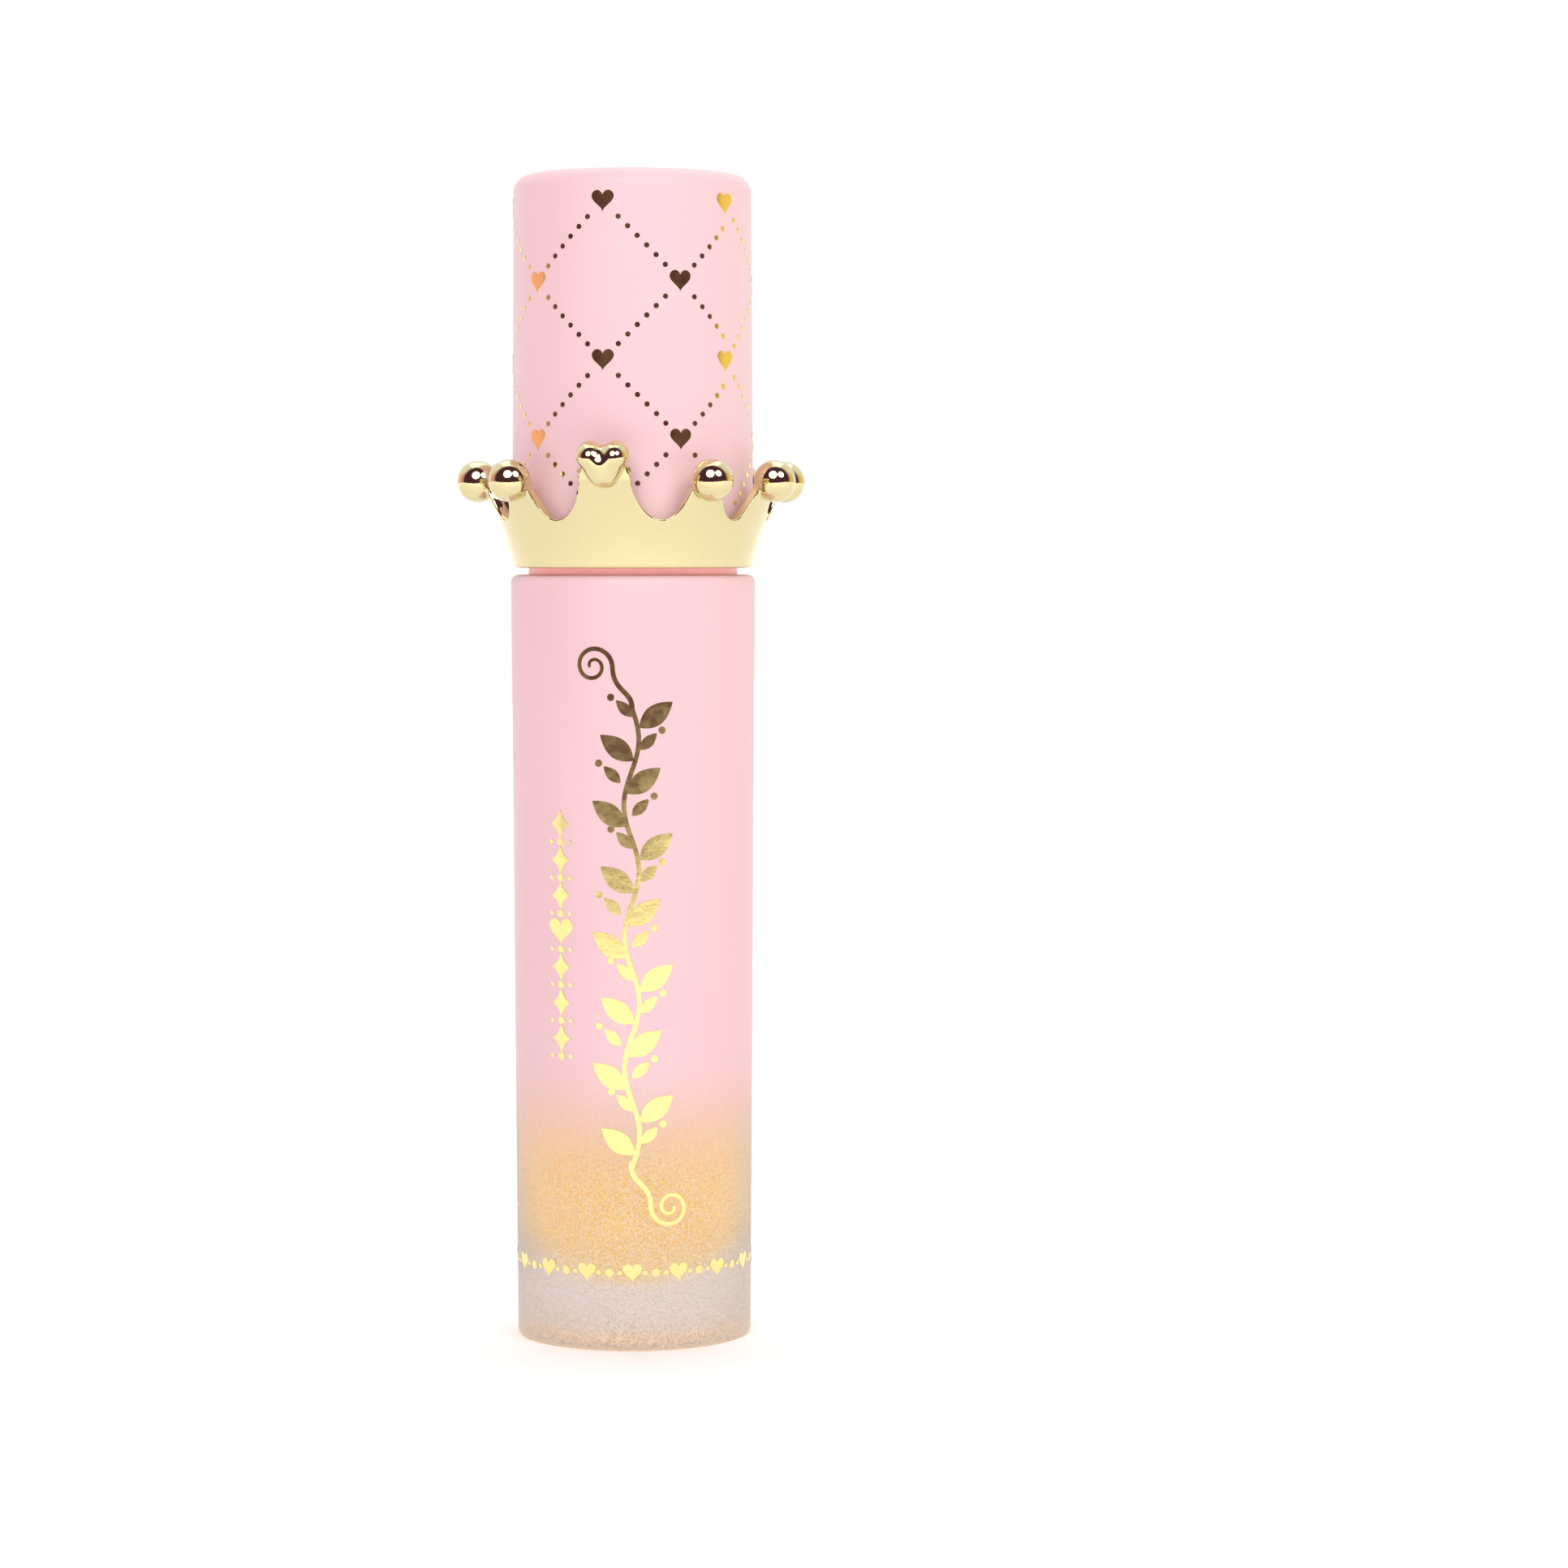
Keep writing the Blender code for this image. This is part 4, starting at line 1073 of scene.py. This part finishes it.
def lay_side_border(foil):
    """Lozenges and dots in a column, with a heart in its middle."""
    pitch = (BORDER_HIGH_Z - BORDER_LOW_Z) / BORDER_UNITS
    for n in range(BORDER_UNITS):
        z = BORDER_LOW_Z + pitch * (n + 0.5)
        middle = n == BORDER_UNITS // 2
        foil.blob(BORDER_ANGLE, z, foil_heart(*BORDER_HEART) if middle else lozenge(*BORDER_LOZENGE))
        for side in (-1, 1):
            angle = BORDER_ANGLE + side * BORDER_SIDE_DOT_OFFSET / body_radius(z)
            foil.blob(angle, z - pitch / 2, circle(BORDER_SIDE_DOT_RADIUS))
        foil.blob(BORDER_ANGLE, z - pitch / 2, circle(BORDER_DOT_RADIUS))


def lay_foot_ring(foil):
    """A ring of small hearts with three graded dots between them, near the foot."""
    pitch = 2 * math.pi / FOOT_RING_UNITS
    for n in range(FOOT_RING_UNITS):
        angle = pitch * n + VINE_ANGLE
        foil.blob(angle, FOOT_RING_Z, foil_heart(*FOOT_RING_HEART))
        for share, radius in FOOT_RING_DOTS:
            foil.blob(angle + pitch * share, FOOT_RING_Z, circle(radius))


def make_bottle_foil(material):
    """A leafy vine up the front, a slim border beside it and a beaded ring round the foot."""
    foil = Foil(body_radius)
    lay_vine(foil)
    lay_side_border(foil)
    lay_foot_ring(foil)
    finish_piece(foil.make("bottle_foil", material), "bottle", "gold_plated_plastic")


# ---------------------------------------------------------------- wand


def make_rod(material):
    low, high = ROD_LOW.z, ROD_HIGH.z
    edge, spigot = ROD_TIP_ROUND, ROD_SPIGOT_RADIUS
    outline = [
        (0.0, low + ROD_SOCKET_DEPTH),
        (ROD_SOCKET_RADIUS, low + ROD_SOCKET_DEPTH),
        (ROD_SOCKET_RADIUS, low),
        *arc(ROD_TIP_RADIUS - edge, low + edge, edge, edge, -90, 0, 4),
        (ROD_HIGH.x, ROD_TAPER_TOP_Z),
        (ROD_HIGH.x, high - ROD_SPIGOT_LENGTH),
        (spigot, high - ROD_SPIGOT_LENGTH),
        *bead(spigot, ROD_BEAD_HEIGHT, high - ROD_BEAD_DROP, ROD_BEAD_HALF_WIDTH, 1),
        (spigot, high - ROD_END_CHAMFER),
        (spigot - ROD_END_CHAMFER, high),
        (0.0, high),
    ]
    piece = turned("wand_rod_body", outline, material, ROD_STEPS)
    finish_piece(piece, "rod", "rod_plastic", "wand_rod")


def flock_core():
    """The CAD tip's shape, smoothed and drawn in by half the nap."""
    source = remeshed_copy("tip_flock", FLOCK_VOXEL)
    smooth = source.modifiers.new("smooth", "SMOOTH")
    smooth.iterations = FLOCK_SMOOTHING
    shrink = source.modifiers.new("shrink", "DISPLACE")
    shrink.mid_level = 0.0
    shrink.strength = -NAP_DEPTH / 2
    mesh = applied(source)
    bpy.data.objects.remove(source)
    return mesh


def fibre_roots(core, points, rng):
    """Random places on the outside of the flock's core, and the surface's direction at each."""
    core.calc_loop_triangles()
    corners = np.array([t.vertices[:] for t in core.loop_triangles])
    a, b, c = (points[corners[:, i]] for i in range(3))
    cross = np.cross(b - a, c - a)
    area = np.linalg.norm(cross, axis=1)
    normal = cross / np.maximum(area, 1e-15)[:, None]
    centre = (a + b + c) / 3
    # No fibres in the bore, on the axis or against the rod's end.
    outside = (normal[:, :2] * centre[:, :2]).sum(1) > FLOCK_INWARD_LIMIT
    outside &= np.hypot(centre[:, 0], centre[:, 1]) > FLOCK_AXIS_GAP
    outside &= centre[:, 2] < ROD_LOW.z - FLOCK_ROD_GAP
    weight = area * outside
    chosen = rng.choice(len(area), FIBRE_COUNT, p=weight / weight.sum())
    u, v = rng.random(FIBRE_COUNT), rng.random(FIBRE_COUNT)
    over = u + v > 1
    u[over], v[over] = 1 - u[over], 1 - v[over]
    root = a[chosen] + u[:, None] * (b - a)[chosen] + v[:, None] * (c - a)[chosen]
    return root, normal[chosen]


def fibre_corners(root, normal, rng):
    """For every fibre, three corners round its root and one at its end: four arrays of points."""
    lean = rng.normal(0, FIBRE_SPREAD, (FIBRE_COUNT, 3)) + np.array([0.0, 0.0, -FIBRE_DROOP])
    way = normal + lean
    way /= np.linalg.norm(way, axis=1, keepdims=True)
    length = FIBRE_LENGTH * rng.uniform(FIBRE_SHORTEST, 1.0, FIBRE_COUNT)
    side = np.cross(way, np.array([0.3, 0.5, 0.81]))
    side /= np.linalg.norm(side, axis=1, keepdims=True)
    across = np.cross(way, side)
    foot = root - FIBRE_ROOT * way
    round_root = []
    for i in range(3):
        t = 2 * math.pi * i / 3
        round_root.append(foot + FIBRE_WIDTH / 2 * (math.cos(t) * side + math.sin(t) * across))
    return [*round_root, root + length[:, None] * way]


def make_flock(material):
    """The flocked tip: a soft core with thousands of short fibres standing on it."""
    core = flock_core()
    core_points = np.array([v.co[:] for v in core.vertices])
    rng = np.random.default_rng(FLOCK_SEED)
    root, normal = fibre_roots(core, core_points, rng)
    points = np.vstack([core_points, *fibre_corners(root, normal, rng)])
    faces = [p.vertices[:] for p in core.polygons]
    for k in range(FIBRE_COUNT):
        i, j, m, top = (len(core_points) + FIBRE_COUNT * corner + k for corner in range(4))
        faces += [(i, j, top), (j, m, top), (m, i, top), (i, m, j)]
    piece = mesh_object("flocked_tip", points, faces, material, None)
    finish_piece(piece, "cap", "flock", "tip_flock")


# ---------------------------------------------------------------- small inner pieces


def paint_node(name, material):
    """Gives a CAD node its material and round shading."""
    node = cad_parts[name]
    node.data.materials.clear()
    node.data.materials.append(material)
    node.data.shade_smooth()
    node.data.set_sharp_from_angle(angle=math.radians(CAD_SHARP_ANGLE))


# ---------------------------------------------------------------- studio


def make_floor():
    """Pale light table: it glows a little, so that its far edge melts into the white behind it."""
    m = Shading("pale_floor", Roughness=0.75, Emission_Color=(1.0, 1.0, 1.0, 1.0))
    m.drive(
        Base_Color=m.mix(m.noise(3, 2), FLOOR_GREY, FLOOR_GREY_PALE),
        Emission_Strength=m.remap(m.distance(), *FLOOR_GLOW_REACH, *FLOOR_GLOW),
    )
    near, far = FLOOR_FRONT_Y, FLOOR_HALF
    corners = [(-far, near, 0.0), (far, near, 0.0), (far, far, 0.0), (-far, far, 0.0)]
    floor = mesh_object("floor", corners, [(0, 1, 2, 3)], m.material, None)


def make_world():
    """White surroundings behind, a dim warm room in front; the camera itself sees plain white."""
    world = bpy.data.worlds.new("studio")
    bpy.context.scene.world = world
    world.use_nodes = True
    m = Nodes(world.node_tree)
    front = Vector((math.sin(CAMERA_AZIMUTH), -math.cos(CAMERA_AZIMUTH), 0.0))
    right = Vector((math.cos(CAMERA_AZIMUTH), math.sin(CAMERA_AZIMUTH), 0.0))
    way = m.add("ShaderNodeTexCoord").outputs["Generated"]
    light = WHITE_SURROUND
    glows = ((-right, GLOW_EDGE, LEFT_GLOW), (right, GLOW_EDGE, RIGHT_GLOW), (front, ROOM_EDGE, DIM_ROOM))
    for axis, edge, colour in glows:
        towards = m.add("ShaderNodeVectorMath", operation="DOT_PRODUCT")
        m.feed(towards.inputs[0], way)
        m.feed(towards.inputs[1], axis)
        light = m.mix(m.remap(towards.outputs["Value"], *edge, smooth=True), light, colour)
    camera_sees = m.add("ShaderNodeLightPath").outputs["Is Camera Ray"]
    light = m.mix(camera_sees, light, WHITE_SURROUND)
    m.feed(m.tree.nodes["Background"].inputs["Color"], light)


def add_softbox(name, azimuth_deg, elevation_deg, distance, size, radiance, shape="DISK"):
    """Area light that looks at the tube's middle. Azimuth is from the front towards +X."""
    light = bpy.data.lights.new(name, "AREA")
    light.shape = shape
    light.size = size
    area = size * size * (math.pi / 4 if shape == "DISK" else 1)
    light.energy = radiance * math.pi * area
    a, e = math.radians(azimuth_deg), math.radians(elevation_deg)
    obj = bpy.data.objects.new(name, light)
    bpy.context.scene.collection.objects.link(obj)
    way = Vector((math.sin(a) * math.cos(e), -math.cos(a) * math.cos(e), math.sin(e)))
    obj.location = Vector(LIGHTS_AIM) + distance * way
    obj.rotation_euler = (-way).to_track_quat("-Z", "Y").to_euler()


def make_camera():
    camera = bpy.data.cameras.new("camera")
    camera.sensor_width = 36
    camera.lens = CAMERA_LENS
    camera.clip_start, camera.clip_end = 0.01, 20
    obj = bpy.data.objects.new("camera", camera)
    bpy.context.scene.collection.objects.link(obj)
    obj.location = (
        CAMERA_DISTANCE * math.sin(CAMERA_AZIMUTH),
        -CAMERA_DISTANCE * math.cos(CAMERA_AZIMUTH),
        CAMERA_HEIGHT,
    )
    obj.rotation_euler = (math.pi / 2 - CAMERA_PITCH, 0, CAMERA_TURN)
    bpy.context.scene.camera = obj


def make_studio():
    make_floor()
    make_world()
    add_softbox("softbox_front", -1.0, 37, distance=0.62, size=0.46, radiance=3.9)
    add_softbox("softbox_right", 50, 36, distance=0.62, size=0.33, radiance=4.0)
    add_softbox("softbox_top", 190.7, 70, distance=0.9, size=0.8, radiance=1.0, shape="SQUARE")
    bpy.context.scene.view_settings.view_transform = "Standard"
    make_camera()


def main():
    foil = foil_material()
    make_bottle(frosted_bottle_material())
    make_gloss(gloss_material())
    make_cap_shell(soft_touch_material())
    make_crown(gold_material())
    make_cap_foil(foil)
    make_bottle_foil(foil)
    make_rod(rod_material())
    make_flock(flock_material())
    paint_node("wiper", moulded_material("soft_wiper", WIPER_WHITE, 0.42, 0.2))
    paint_node("seal_ring", moulded_material("foam_seal", FOAM_WHITE, 0.75, 0.0, 5200))
    paint_node("inner_cap", moulded_material("inner_cap_plastic", INNER_CAP_TAUPE, 0.40))
    paint_node("tip_core", moulded_material("tip_core_plastic", CORE_WHITE, 0.45, 0.2))
    make_studio()


main()
